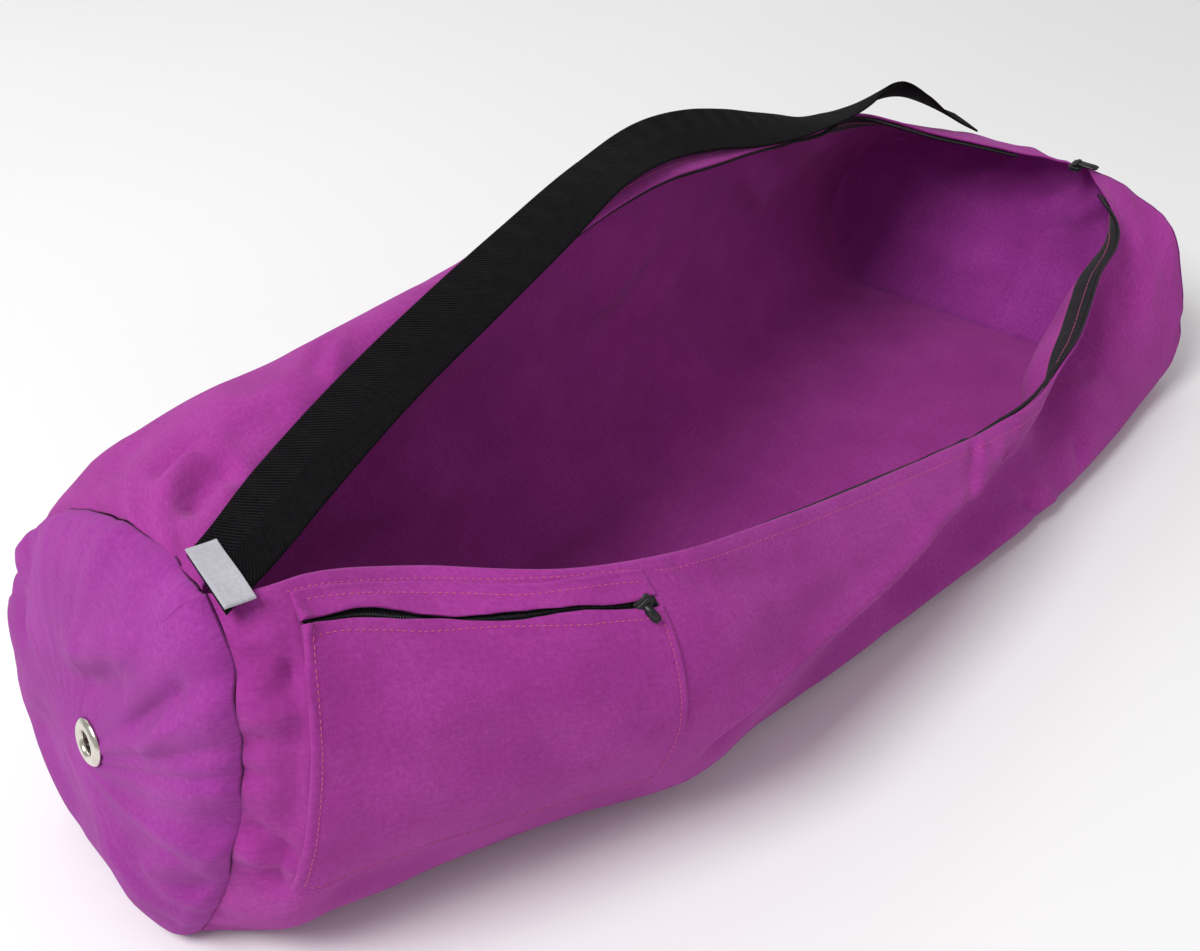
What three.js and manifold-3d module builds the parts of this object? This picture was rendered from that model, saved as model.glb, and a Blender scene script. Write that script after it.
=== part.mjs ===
// Open yoga duffel of soft canvas, lying on its side panel: long slit with a zip, two round
// end panels, webbing strap over the opening, outside pocket with its own small zip.
// Millimetres, +Z up, +X from the near end panel to the far one, -Y the front with the pocket.
import * as THREE from 'three';
import { mergeVertices } from 'three/addons/utils/BufferGeometryUtils.js';
import Module from 'manifold-3d';

// ---- driving sizes -------------------------------------------------------
const WALL = 1.6;            // canvas with its seam turnings
const GAP = 0.4;             // between neighbouring pieces
const TAPE_W = 16;           // zip tape inside each edge of the slit
const TAPE_T = 0.8;
const TEETH_H = 2.4;         // coil along the tape
const TEETH_T = 1.8;
const TEETH_UP = 0.8;        // how far it shows above the edge
const STRAP_W = 38;          // webbing
const STRAP_T = 1.6;
const POCKET_T = 1.0;
const POCKET_LEFT = -371;    // stations of the pocket's side edges
const POCKET_RIGHT = -206;
const LABEL = { w: 38, l: 14, t: 1.2 };
const GROMMET = { outer: 12, neck: 6.1, bore: 5.5, flange: 1.1, hole: 6.6, y: 42, z: 116 };
const NEAR_DOME = { rise: 25, p: 3.4, q: 0.48, up: -24 };   // bulge of the near end panel
const FAR_DOME = { rise: 30, p: 2.2, q: 0.75, up: 0 };
const SHIFT = [-13.465, -6.275, 0];                // puts the plan middle of the whole bag at the origin

// ---- the tube: one row per cross-section, from the near seam to the far seam -----------
// x: station on the floor; lean, yaw: how the section's plane tips along X with z and y.
// Front wall: edge, brow, side, tuck, foot, contact. Back wall: contact, side, brow, crest, edge.
const COLUMNS = ('x lean yaw fe_y fe_z fb_y fb_z fs_y fs_z ft_y ft_z ff_y ff_z fc ' +
  'bc bs_y bs_z bb_y bb_z cr_y cr_z be_y be_z').split(' ');
const SECTIONS = [
  [-395, .13, .15,  -28, 218,  -46, 198,   -50, 150,   -40, 92,   -17, 36,   14,  108,  170, 112,  117, 180,   38, 216,  -24, 218],
  [-380, .12, .13,  -38, 217,  -62, 190,   -68, 135,   -59, 72,   -34, 25,    6,  104,  169, 114,  124, 185,   42, 220,  -14, 218],
  [-350, .10, .08,  -43, 212,  -74, 180,   -86, 122,   -71, 58,   -46, 19,   -6,   98,  164, 114,  125, 193,   46, 224,   -3, 215],
  [-300, .06, .03,  -54, 196,  -92, 168,  -109, 112,   -90, 54,   -63, 17,  -22,   90,  150, 114,  117, 203,   55, 232,   16, 208],
  [-240, .03, .00,  -98, 183, -124, 152,  -135, 104,  -114, 52,   -88, 16,  -47,   82,  138, 116,  106, 206,   61, 235,   29, 211],
  [-180, .00, .00, -118, 170, -146, 138,  -156,  96,  -142, 48,  -118, 15,  -76,   76,  130, 118,  100, 209,   67, 235,   38, 216],
  [-110, .00, .00, -122, 149, -148, 118,  -159,  86,  -140, 44,  -127, 15,  -92,   72,  124, 120,  100, 214,   72, 233,   50, 221],
  [ -45, .00, .00, -124, 131, -148, 108,  -158,  84,  -135, 44,  -135, 15, -102,   71,  120, 124,  102, 217,   78, 236,   58, 227],
  [  40, .00, .00, -128, 112, -146, 100,  -155,  82,  -131, 45,  -143, 15, -111,   74,  120, 122,  106, 214,   88, 234,   66, 227],
  [ 110, .00, .00, -134, 101, -144,  92,  -148,  77,  -128, 45,  -149, 15, -116,   78,  128, 116,  110, 203,   92, 221,   72, 215],
  [ 170, .02, .00, -138,  99, -137,  86,  -131,  68,  -126, 45,  -152, 15, -120,   84,  140, 106,  115, 190,   94, 205,   79, 203],
  [ 225, .08, .00, -126, 106, -118,  90,  -114,  68,  -126, 44,  -151, 15, -120,   90,  152,  96,  122, 171,  101, 186,   88, 189],
  [ 280, .16, .00, -107, 115, -100,  98,  -104,  74,  -128, 46,  -148, 15, -118,   96,  160,  84,  131, 148,  108, 167,   97, 178],
  [ 335, .27, .00,  -85, 126,  -84, 112,  -104,  84,  -131, 50,  -143, 16, -114,  100,  166,  70,  137, 133,  100, 148,   50, 149],
  [ 375, .37, .00,  -31, 132,  -72, 126,  -106, 110,  -132, 68,  -139, 18, -110,  104,  170,  62,  140, 110,   60, 133,  -27, 132],
];
// stations at which the tube is built
const STATIONS = [-395, -388, -380, POCKET_LEFT, -355, -338, -320, -300, -280, -260, -240, -222,
  POCKET_RIGHT, -185, -160, -135, -110, -85, -60, -30, 0, 35, 70, 105, 135, 160, 185, 210, 235,
  260, 285, 310, 335, 350, 362, 375];
const N_FRONT = 15, N_FLOOR = 5, N_BACK = 16;

// strap: middle line and the bank of its width about that line, root to far end
const STRAP = [
  // x      y     z    bank (back edge raised)  skew (width turned off square), degrees
  { x: -370, y: -27, z: 220.6, bank: 12, skew: 24 },
  { x: -350, y: -20, z: 221.2, bank: 12, skew: 22 },
  { x: -300, y: 2, z: 220.5, bank: 12, skew: 10 },
  { x: -230, y: 25, z: 225, bank: 13, skew: 0 },
  { x: -150, y: 43, z: 233, bank: 16, skew: 0 },
  { x: -80, y: 60, z: 237.2, bank: 13, skew: 0 },
  { x: 0, y: 78, z: 242.8, bank: 4, skew: 0 },
  { x: 80, y: 92, z: 235.6, bank: 23, skew: 0 },
  { x: 110, y: 92, z: 229.8, bank: 26, skew: 0 },
  { x: 154, y: 93, z: 216.6, bank: 26, skew: 0 },
  { x: 192, y: 94.5, z: 205.2, bank: 16, skew: 0 },
  { x: 232, y: 97, z: 194.8, bank: 2, skew: 0 },
  { x: 278, y: 104.5, z: 182, bank: -12, skew: 0 },
  { x: 304, y: 108, z: 177.5, bank: -19, skew: 0 },
  { x: 324, y: 110, z: 175.2, bank: -27, skew: 0 },
  { x: 341, y: 109, z: 176, bank: -38, skew: 0 },
  { x: 358, y: 105.5, z: 176.5, bank: -40, skew: 0 },
  { x: 382, y: 96, z: 168, bank: -18, skew: 0 },
  { x: 405, y: 84, z: 152, bank: -4, skew: 0 },
  { x: 425, y: 72, z: 139.5, bank: 0, skew: 0 },
];

// ---- small vector helpers --------------------------------------------------
const V = (x, y, z) => new THREE.Vector3(x, y, z);
const mix = (a, b, t) => a.clone().lerp(b, t);

// three-point slopes for rows of numbers y at parameters x
function slopes(x, y) {
  const n = x.length, w = y[0].length, m = y.map(() => new Array(w).fill(0));
  for (let c = 0; c < w; c++) {
    const d = [];
    for (let i = 0; i < n - 1; i++) d.push((y[i + 1][c] - y[i][c]) / (x[i + 1] - x[i]));
    m[0][c] = d[0]; m[n - 1][c] = d[n - 2];
    for (let i = 1; i < n - 1; i++) {
      const h0 = x[i] - x[i - 1], h1 = x[i + 1] - x[i];
      m[i][c] = (d[i - 1] * h1 + d[i] * h0) / (h0 + h1);
    }
  }
  return m;
}
function hermite(x, y, m, at) {
  let i = 0;
  while (i < x.length - 2 && at > x[i + 1]) i++;
  const h = x[i + 1] - x[i], t = (at - x[i]) / h, t2 = t * t, t3 = t2 * t;
  return y[i].map((a, c) => (2 * t3 - 3 * t2 + 1) * a + (t3 - 2 * t2 + t) * m[i][c] * h +
    (3 * t2 - 2 * t3) * y[i + 1][c] + (t3 - t2) * m[i + 1][c] * h);
}
const ROW_X = SECTIONS.map(r => r[0]), ROW_M = slopes(ROW_X, SECTIONS);
function rowAt(x0) {
  const v = hermite(ROW_X, SECTIONS, ROW_M, x0), r = {};
  COLUMNS.forEach((name, i) => { r[name] = v[i]; });
  r.x = x0;
  return r;
}
// smooth polyline through points of the (y, z) plane; one end runs flat onto the floor
function smooth(points, flatStart, flatEnd, per = 16) {
  const len = [], k = [0];
  for (let i = 0; i < points.length - 1; i++) {
    len.push(Math.sqrt(Math.hypot(points[i + 1][0] - points[i][0], points[i + 1][1] - points[i][1])));
    k.push(k[i] + len[i]);
  }
  const m = slopes(k, points), n = points.length;
  for (let c = 0; c < 2; c++) {
    m[0][c] = 1.5 * (points[1][c] - points[0][c]) / len[0] - 0.5 * m[1][c];
    m[n - 1][c] = 1.5 * (points[n - 1][c] - points[n - 2][c]) / len[n - 2] - 0.5 * m[n - 2][c];
  }
  if (flatStart) m[0] = [Math.hypot(...m[0]), 0];
  if (flatEnd) m[n - 1] = [Math.hypot(...m[n - 1]), 0];
  const out = [];
  for (let i = 0; i < n - 1; i++) for (let j = 0; j < per + (i === n - 2 ? 1 : 0); j++)
    out.push(hermite([0, len[i]], [points[i], points[i + 1]], [m[i], m[i + 1]], len[i] * j / per));
  return out;
}
// points of a polyline at given distances along it
function along(line, distances) {
  const s = [0];
  for (let i = 1; i < line.length; i++) s.push(s[i - 1] + Math.hypot(line[i][0] - line[i - 1][0], line[i][1] - line[i - 1][1]));
  return distances.map(q => {
    let i = 0;
    while (i < s.length - 2 && q > s[i + 1]) i++;
    const t = Math.min(1, Math.max(0, (q - s[i]) / (s[i + 1] - s[i])));
    return [0, 1].map(c => line[i][c] + t * (line[i + 1][c] - line[i][c]));
  });
}
const lengthOf = line => line.slice(1).reduce((a, p, i) => a + Math.hypot(p[0] - line[i][0], p[1] - line[i][1]), 0);
const EDGE_LINES = [0, 8.5, TAPE_W, 24];       // lines kept at fixed distances from the slit's edges

function section(x0) {
  const r = rowAt(x0);
  const front = smooth([[r.fe_y, r.fe_z], [r.fb_y, r.fb_z], [r.fs_y, r.fs_z], [r.ft_y, r.ft_z], [r.ff_y, r.ff_z], [r.fc, 0]], false, true);
  const low = [r.bc + 0.62 * (r.bs_y - r.bc), 0.2 * r.bs_z];
  const back = smooth([[r.bc, 0], low, [r.bs_y, r.bs_z], [r.bb_y, r.bb_z], [r.cr_y, r.cr_z], [r.be_y, r.be_z]], true, false);
  const lf = lengthOf(front), lb = lengthOf(back);
  const fd = [...EDGE_LINES], bd = [];
  for (let i = 1; i <= N_FRONT - 3; i++) fd.push(24 + (lf - 24) * i / (N_FRONT - 3));
  for (let i = 0; i < N_BACK - 2; i++) bd.push((lb - TAPE_W) * i / (N_BACK - 2));
  bd.push(lb - TAPE_W, lb - 8.5, lb);
  const f = along(front, fd), b = along(back, bd);
  f[f.length - 1] = [r.fc, 0]; b[0] = [r.bc, 0];
  const floor = [];
  for (let i = 1; i < N_FLOOR; i++) floor.push([r.fc + (r.bc - r.fc) * i / N_FLOOR, 0]);
  return [...f, ...floor, ...b].map(([y, z]) => {
    const zz = Math.max(z, 0);
    return V(x0 + r.lean * zz + r.yaw * y, y, zz);
  });
}
const GRID = STATIONS.map(section);
const NU = GRID.length, NV = GRID[0].length;

// outward vertex normals of an open grid (u along X, v round the section)
function normalsOf(grid) {
  const n = grid.map(row => row.map(() => V(0, 0, 0)));
  const e1 = V(), e2 = V();
  for (let i = 0; i < grid.length - 1; i++) for (let j = 0; j < grid[0].length - 1; j++) {
    const a = grid[i][j], b = grid[i][j + 1], c = grid[i + 1][j], d = grid[i + 1][j + 1];
    for (const [p, q, r, ids] of [[a, b, c, [[i, j], [i, j + 1], [i + 1, j]]], [b, d, c, [[i, j + 1], [i + 1, j + 1], [i + 1, j]]]]) {
      e1.subVectors(q, p); e2.subVectors(r, p);
      const f = V().crossVectors(e1, e2).negate();
      for (const [u, v] of ids) n[u][v].add(f);
    }
  }
  return n.map(row => row.map(v => v.normalize()));
}
let NORMALS = normalsOf(GRID);
{ // outward means away from the middle of the bag
  const m = GRID[20][6], c = V(m.x, 0, 90);
  if (NORMALS[20][6].dot(V().subVectors(m, c)) < 0) NORMALS = NORMALS.map(r => r.map(v => v.negate()));
}

// ---- closed meshes -----------------------------------------------------------
function geometry(points, faces) {
  const g = new THREE.BufferGeometry();
  g.setAttribute('position', new THREE.Float32BufferAttribute(points.flatMap(p => [p.x, p.y, p.z]), 3));
  g.setIndex(faces.flat());
  return orient(g);
}
// turn all faces over if the enclosed volume comes out negative
function orient(g) {
  const p = g.attributes.position, ix = g.index.array, a = V(), b = V(), c = V();
  let vol = 0;
  for (let i = 0; i < ix.length; i += 3) {
    a.fromBufferAttribute(p, ix[i]); b.fromBufferAttribute(p, ix[i + 1]); c.fromBufferAttribute(p, ix[i + 2]);
    vol += a.dot(b.cross(c));
  }
  if (vol < 0) for (let i = 0; i < ix.length; i += 3) { const t = ix[i + 1]; ix[i + 1] = ix[i + 2]; ix[i + 2] = t; }
  return g;
}
// two grids of equal size, one face each, joined round their rims into one closed sheet
function sheet(outer, inner) {
  const nu = outer.length, nv = outer[0].length, pts = [...outer.flat(), ...inner.flat()], f = [];
  const o = (i, j) => i * nv + j, n = (i, j) => nu * nv + i * nv + j;
  for (let i = 0; i < nu - 1; i++) for (let j = 0; j < nv - 1; j++) {
    f.push([o(i, j), o(i, j + 1), o(i + 1, j)], [o(i, j + 1), o(i + 1, j + 1), o(i + 1, j)]);
    f.push([n(i, j), n(i + 1, j), n(i, j + 1)], [n(i, j + 1), n(i + 1, j), n(i + 1, j + 1)]);
  }
  for (let j = 0; j < nv - 1; j++) {
    f.push([o(0, j + 1), o(0, j), n(0, j)], [o(0, j + 1), n(0, j), n(0, j + 1)]);
    f.push([o(nu - 1, j), o(nu - 1, j + 1), n(nu - 1, j)], [o(nu - 1, j + 1), n(nu - 1, j + 1), n(nu - 1, j)]);
  }
  for (let i = 0; i < nu - 1; i++) {
    f.push([o(i, 0), o(i + 1, 0), n(i, 0)], [o(i + 1, 0), n(i + 1, 0), n(i, 0)]);
    f.push([o(i + 1, nv - 1), o(i, nv - 1), n(i, nv - 1)], [o(i + 1, nv - 1), n(i, nv - 1), n(i + 1, nv - 1)]);
  }
  return geometry(pts, f);
}
// domed disc: rings of equal count shrinking to a middle point, two faces thick
function disc(outer, inner, topOuter, topInner) {
  const nr = outer.length, nv = outer[0].length, pts = [...outer.flat(), ...inner.flat(), topOuter, topInner], f = [];
  const o = (i, j) => i * nv + (j % nv), n = (i, j) => nr * nv + i * nv + (j % nv), to = 2 * nr * nv, ti = to + 1;
  for (let j = 0; j < nv; j++) {
    for (let i = 0; i < nr - 1; i++) {
      f.push([o(i, j), o(i, j + 1), o(i + 1, j)], [o(i, j + 1), o(i + 1, j + 1), o(i + 1, j)]);
      f.push([n(i, j), n(i + 1, j), n(i, j + 1)], [n(i, j + 1), n(i + 1, j), n(i + 1, j + 1)]);
    }
    f.push([o(nr - 1, j), o(nr - 1, j + 1), to], [n(nr - 1, j), ti, n(nr - 1, j + 1)]);
    f.push([o(0, j + 1), o(0, j), n(0, j)], [o(0, j + 1), n(0, j), n(0, j + 1)]);
  }
  return geometry(pts, f);
}
// point of the tube's faceted outer face at a fractional line v, pushed out by d
function onTube(i, v, d) {
  const j = Math.min(Math.floor(v), NV - 2), t = v - j;
  const p = mix(GRID[i][j], GRID[i][j + 1], t), n = mix(NORMALS[i][j], NORMALS[i][j + 1], t).normalize();
  return p.addScaledVector(n, d);
}
function patch(i0, i1, lines, d0, d1) {
  const idx = []; for (let i = i0; i <= i1; i++) idx.push(i);
  return sheet(idx.map(i => lines.map(v => onTube(i, v, d1))), idx.map(i => lines.map(v => onTube(i, v, d0))));
}

// ---- pieces ------------------------------------------------------------------
const group = new THREE.Group();
const CANVAS = { color: 0xa94f9f, roughness: 0.85, metalness: 0 };
const BLACK = { color: 0x121114, roughness: 0.7, metalness: 0 };
function add(name, geo, look) {
  const mesh = new THREE.Mesh(geo, new THREE.MeshStandardMaterial(look));
  mesh.name = name;
  mesh.geometry.computeVertexNormals();
  group.add(mesh);
  return mesh;
}

// tube
const INNER = GRID.map((row, i) => row.map((p, j) => {
  const q = p.clone().addScaledVector(NORMALS[i][j], -WALL);
  if (i === 0 || i === NU - 1) {               // the ends stay in the seam's plane
    const r = rowAt(STATIONS[i]);
    q.x = STATIONS[i] + r.lean * q.z + r.yaw * q.y;
  }
  return q;
}));
add('main_panel', sheet(GRID, INNER), CANVAS);

// end panels
function dome(end, spec, sign) {
  const i = end === 0 ? 0 : NU - 1, ring = GRID[i], r = rowAt(STATIONS[i]);
  const n = V(1, -r.yaw, -r.lean).normalize().multiplyScalar(sign);
  if (end === 0) n.z += 0.03;
  n.normalize();
  const box = new THREE.Box3().setFromPoints(ring), c = box.getCenter(V()).add(V(0, 0, spec.up));
  c.x = STATIONS[i] + r.lean * c.z + r.yaw * c.y;
  const at = (k, j, out) => {
    const p = ring[j].clone().sub(c), shrink = out ? 1 : 1 - WALL / p.length();
    p.multiplyScalar(k * shrink).add(c);
    p.addScaledVector(n, GAP + (out ? 0.8 * WALL : 0) + spec.rise * Math.pow(Math.max(0, 1 - Math.pow(k, spec.p)), spec.q));
    p.z = Math.max(p.z, out ? 0 : WALL);
    return p;
  };
  return { at, n, c, ring };
}
const RINGS = [1, 0.985, 0.95, 0.88, 0.77, 0.63, 0.47, 0.3, 0.14];
function domeMesh(d, spec) {
  const js = d.ring.map((_, j) => j);
  const outer = RINGS.map(k => js.map(j => d.at(k, j, true))), inner = RINGS.map(k => js.map(j => d.at(k, j, false)));
  return disc(outer, inner, d.at(0, 0, true), d.at(0, 0, false));
}
const near = dome(0, NEAR_DOME, -1), far = dome(1, FAR_DOME, 1);

// eyelet: where it sits on the near panel, and its axis
const spot = (k, v) => {
  const j = Math.floor(v), t = v - j;
  return mix(near.at(k, j, true), near.at(k, (j + 1) % near.ring.length, true), t);
};
let G_K = 0, G_V = 0;
for (let k = 0.02, best = 1e9; k < 0.9; k += 0.01) for (let v = 1; v < NV - 2; v += 0.1) {
  const p = spot(k, v), d = Math.hypot(p.y - GROMMET.y, p.z - GROMMET.z);
  if (d < best) { best = d; G_K = k; G_V = v; }
}
const gp = spot(G_K, G_V);
const around = [0, 1, 2, 3].map(q => {           // four points of the panel about the eyelet's middle
  const a = q * Math.PI / 2, y = GROMMET.y + 11 * Math.cos(a), z = GROMMET.z + 11 * Math.sin(a);
  let hit = null, best = 1e9;
  for (let k = 0.02; k < 0.9; k += 0.01) for (let v = 1; v < NV - 2; v += 0.25) {
    const p = spot(k, v), d = Math.hypot(p.y - y, p.z - z);
    if (d < best) { best = d; hit = p; }
  }
  return hit;
});
const gn = V().crossVectors(V().subVectors(around[0], around[2]), V().subVectors(around[1], around[3])).normalize();
if (gn.x > 0) gn.negate();
const turnTo = new THREE.Quaternion().setFromUnitVectors(V(0, 1, 0), gn);

const wasm = await Module(); wasm.setup();
function solid(g) {
  const h = g.clone(); h.deleteAttribute('normal'); h.deleteAttribute('uv');
  const m = mergeVertices(h, 1e-4);
  return new wasm.Manifold(new wasm.Mesh({ numProp: 3, vertProperties: new Float32Array(m.attributes.position.array), triVerts: new Uint32Array(m.index.array) }));
}
function back(m) {
  const o = m.getMesh(), g = new THREE.BufferGeometry();
  g.setAttribute('position', new THREE.Float32BufferAttribute(Array.from(o.vertProperties), 3));
  g.setIndex(Array.from(o.triVerts));
  return g;
}
const punch = new THREE.CylinderGeometry(GROMMET.hole, GROMMET.hole, 30, 20);
punch.applyQuaternion(turnTo); punch.translate(gp.x, gp.y, gp.z);
add('near_end_panel', back(solid(domeMesh(near)).subtract(solid(punch))), { ...CANVAS, color: 0xa553a3 });
add('far_end_panel', domeMesh(far), { ...CANVAS, color: 0xa553a3 });

{ // closed profile of the eyelet, revolved: wide flange outside, neck, turned washer inside
  const g = GROMMET, top = 0.9, low = -(WALL + 3.2);
  const pts = [[g.bore, low], [g.outer - 1.5, low], [g.outer - 1.5, low + 0.9], [g.neck, low + 0.9], [g.neck, top],
    [g.outer, top], [g.outer - 0.6, top + 0.8], [g.outer - 3.2, top + g.flange + 0.2], [g.bore + 0.8, top + g.flange - 0.1], [g.bore, top - 0.2], [g.bore, low]];
  const geo = new THREE.LatheGeometry(pts.map(p => new THREE.Vector2(...p)), 28);
  geo.applyQuaternion(turnTo); geo.translate(gp.x, gp.y, gp.z);
  geo.deleteAttribute('normal'); geo.deleteAttribute('uv');
  add('grommet', orient(mergeVertices(geo, 1e-4)), { color: 0xb9b6ae, roughness: 0.3, metalness: 1 });
}

// zip tapes and teeth along both edges of the slit
const first = STATIONS.indexOf(-380), last = STATIONS.indexOf(350);
const range = []; for (let i = first; i <= last; i++) range.push(i);
// more room where the wall turns sharply
const clear = (i, side) => 1.3 * Math.max(0, Math.min(1, (STATIONS[i] - (side === 'front' ? 320 : 200)) / 15));
const TAPE_TOP = 0.3;        // line on which the tape starts, just under the teeth
function tape(side) {
  const lines = side === 'front' ? [TAPE_TOP, 1, 2] : [NV - 3, NV - 2, NV - 1 - TAPE_TOP];
  const make = d => range.map(i => lines.map(v => onTube(i, v, -WALL - d - clear(i, side))));
  return sheet(make(GAP + 0.1), make(GAP + 0.1 + TAPE_T));
}
// the coil runs along the inner side of the edge and shows a little above it
function teeth(side) {
  const a = side === 'front' ? 0 : NV - 1, b = side === 'front' ? 1 : NV - 2;
  const corner = (lift, d) => range.map(i => {
    const up = V().subVectors(GRID[i][a], GRID[i][b]).normalize();
    return GRID[i][a].clone().addScaledVector(up, lift).addScaledVector(NORMALS[i][a], -d - clear(i, side));
  });
  const d0 = WALL + GAP, rows = [corner(TEETH_UP - TEETH_H, d0), corner(TEETH_UP, d0)];
  const low = [corner(TEETH_UP - TEETH_H, d0 + TEETH_T), corner(TEETH_UP, d0 + TEETH_T)];
  return sheet(range.map((_, i) => rows.map(r => r[i])), range.map((_, i) => low.map(r => r[i])));
}
add('zip_tape_front', tape('front'), BLACK);
add('zip_teeth_front', teeth('front'), { ...BLACK, roughness: 0.5 });
add('zip_tape_back', tape('back'), BLACK);
add('zip_teeth_back', teeth('back'), { ...BLACK, roughness: 0.5 });

// box with its corners cut, used for the two sliders
function slider(l, w, h, c, ax, up) {
  const s = new THREE.Shape();
  const a = l / 2, b = w / 2, k = 0.3;
  [[-a, -b * 0.6], [-a * (1 - k), -b], [a * (1 - k), -b], [a, -b * 0.6], [a, b * 0.6], [a * (1 - k), b], [-a * (1 - k), b], [-a, b * 0.6]]
    .forEach(([x, y], i) => (i ? s.lineTo(x, y) : s.moveTo(x, y)));
  const g = new THREE.ExtrudeGeometry(s, { depth: h, bevelEnabled: false });
  const z = up.clone().normalize(), x = ax.clone().addScaledVector(z, -ax.dot(z)).normalize(), y = V().crossVectors(z, x);
  g.applyMatrix4(new THREE.Matrix4().makeBasis(x, y, z).setPosition(c));
  g.deleteAttribute('normal'); g.deleteAttribute('uv');
  return orient(mergeVertices(g, 1e-4));
}
{
  const e = NU - 1, c = mix(GRID[e][0], GRID[e][NV - 1], 0.5).add(V(-9, 0, 2.2));
  add('zip_slider', slider(13, 9, 4, c, V(1, 0, 0.1), V(-0.1, 0, 1)), { color: 0x2a2a2c, roughness: 0.4, metalness: 0.8 });
}

// outside pocket: tape behind the slit, strip above it, panel below it
const p0 = STATIONS.indexOf(POCKET_LEFT), p1 = STATIONS.indexOf(POCKET_RIGHT);
const LOW = 0.8 + 2 * GAP;
add('pocket_zip', patch(p0, p1, [2.1, 2.6, 3, 3.3], GAP + 0.2, GAP + 0.8), BLACK);
add('pocket_strip', patch(p0, p1, [1, 2, 2.5], LOW, LOW + POCKET_T), CANVAS);
add('pocket_panel', patch(p0, p1, [3.02, 4, 5, 6, 7, 8, 9, 10], LOW, LOW + POCKET_T), CANVAS);
{
  const a = onTube(p1, 2.75, 0), b = onTube(p1 - 1, 2.75, 0), n = NORMALS[p1][3];
  const ax = V().subVectors(a, b), c = a.clone().addScaledVector(n, LOW + POCKET_T + 0.5).addScaledVector(ax.normalize(), -6);
  add('pocket_slider', slider(15, 7, 3, c, ax, n), { color: 0x2a2a2c, roughness: 0.4, metalness: 0.8 });
}

// strap
const S_K = [0]; for (let i = 1; i < STRAP.length; i++)
  S_K.push(S_K[i - 1] + Math.hypot(STRAP[i].x - STRAP[i - 1].x, STRAP[i].y - STRAP[i - 1].y, STRAP[i].z - STRAP[i - 1].z));
const S_Y = STRAP.map(r => [r.x, r.y, r.z, r.bank, r.skew]), S_M = slopes(S_K, S_Y);
function strapFrame(s) {
  const [x, y, z, bank, skew] = hermite(S_K, S_Y, S_M, s), q = hermite(S_K, S_Y, S_M, s + 0.5), q0 = hermite(S_K, S_Y, S_M, s - 0.5);
  const t = V(q[0] - q0[0], q[1] - q0[1], q[2] - q0[2]).normalize();
  const w0 = V().crossVectors(V(0, 0, 1), t).normalize();
  const w = w0.applyAxisAngle(t, THREE.MathUtils.degToRad(bank));
  const n = V().crossVectors(t, w).normalize();
  w.applyAxisAngle(n, -THREE.MathUtils.degToRad(skew));
  return { p: V(x, y, z), t: V().crossVectors(w, n).normalize(), w, n };
}
function ribbon(s0, s1, steps, width, lift, thick) {
  const grid = h => Array.from({ length: steps + 1 }, (_, i) => {
    const f = strapFrame(s0 + (s1 - s0) * i / steps);
    return [-0.5, 0.5].map(k => f.p.clone().addScaledVector(f.w, k * width).addScaledVector(f.n, h));
  });
  return sheet(grid(lift + thick), grid(lift));
}
const S_END = S_K[S_K.length - 1];
add('strap', ribbon(0, S_END, 44, STRAP_W, 0, STRAP_T), { color: 0x0d0d0f, roughness: 0.8, metalness: 0 });
{
  const f = strapFrame(2), grid = h => [-2, LABEL.l / 2, LABEL.l].map(a => [-0.5, 0.5].map(k =>
    f.p.clone().addScaledVector(f.t, a).addScaledVector(f.w, k * LABEL.w).addScaledVector(f.n, h)));
  add('label', sheet(grid(STRAP_T + 2 * GAP + LABEL.t), grid(STRAP_T + 2 * GAP)), { color: 0xe9e9ec, roughness: 0.6, metalness: 0 });
}

group.position.set(...SHIFT);
group.updateMatrixWorld(true);

export default group;
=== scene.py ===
"""Looks of the open canvas bag: cloth shell with its folds, seams, stitches, zips, pocket, webbing strap, label and eyelet."""

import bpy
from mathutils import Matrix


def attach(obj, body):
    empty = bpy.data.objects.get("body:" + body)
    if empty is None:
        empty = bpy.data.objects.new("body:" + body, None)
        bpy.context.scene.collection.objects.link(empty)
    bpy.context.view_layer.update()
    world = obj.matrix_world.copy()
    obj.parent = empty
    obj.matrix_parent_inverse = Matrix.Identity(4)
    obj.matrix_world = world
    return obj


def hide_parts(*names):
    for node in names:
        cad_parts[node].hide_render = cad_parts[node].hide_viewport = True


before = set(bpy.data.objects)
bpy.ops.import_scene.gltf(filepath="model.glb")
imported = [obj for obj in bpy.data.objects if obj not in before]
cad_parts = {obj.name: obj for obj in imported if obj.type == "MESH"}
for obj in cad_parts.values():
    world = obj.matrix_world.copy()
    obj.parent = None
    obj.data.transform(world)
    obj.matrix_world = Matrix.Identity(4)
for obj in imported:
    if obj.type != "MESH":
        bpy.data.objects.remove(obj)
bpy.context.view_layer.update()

import math
import bpy
import numpy as np
from mathutils import Matrix, Vector


# ---- driving sizes, in millimetres -------------------------------------------
WALL, GAP = 1.6, 0.4
SHIFT = np.array([-13.465, -6.275, 0.0])
POCKET_LEFT, POCKET_RIGHT = -371.0, -206.0
TAPE_W = 16.0
STRAP_W, STRAP_T = 38.0, 1.6
NEAR_DOME = dict(rise=25.0, p=3.4, q=0.48, up=-24.0)
FAR_DOME = dict(rise=30.0, p=2.2, q=0.75, up=0.0)

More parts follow.
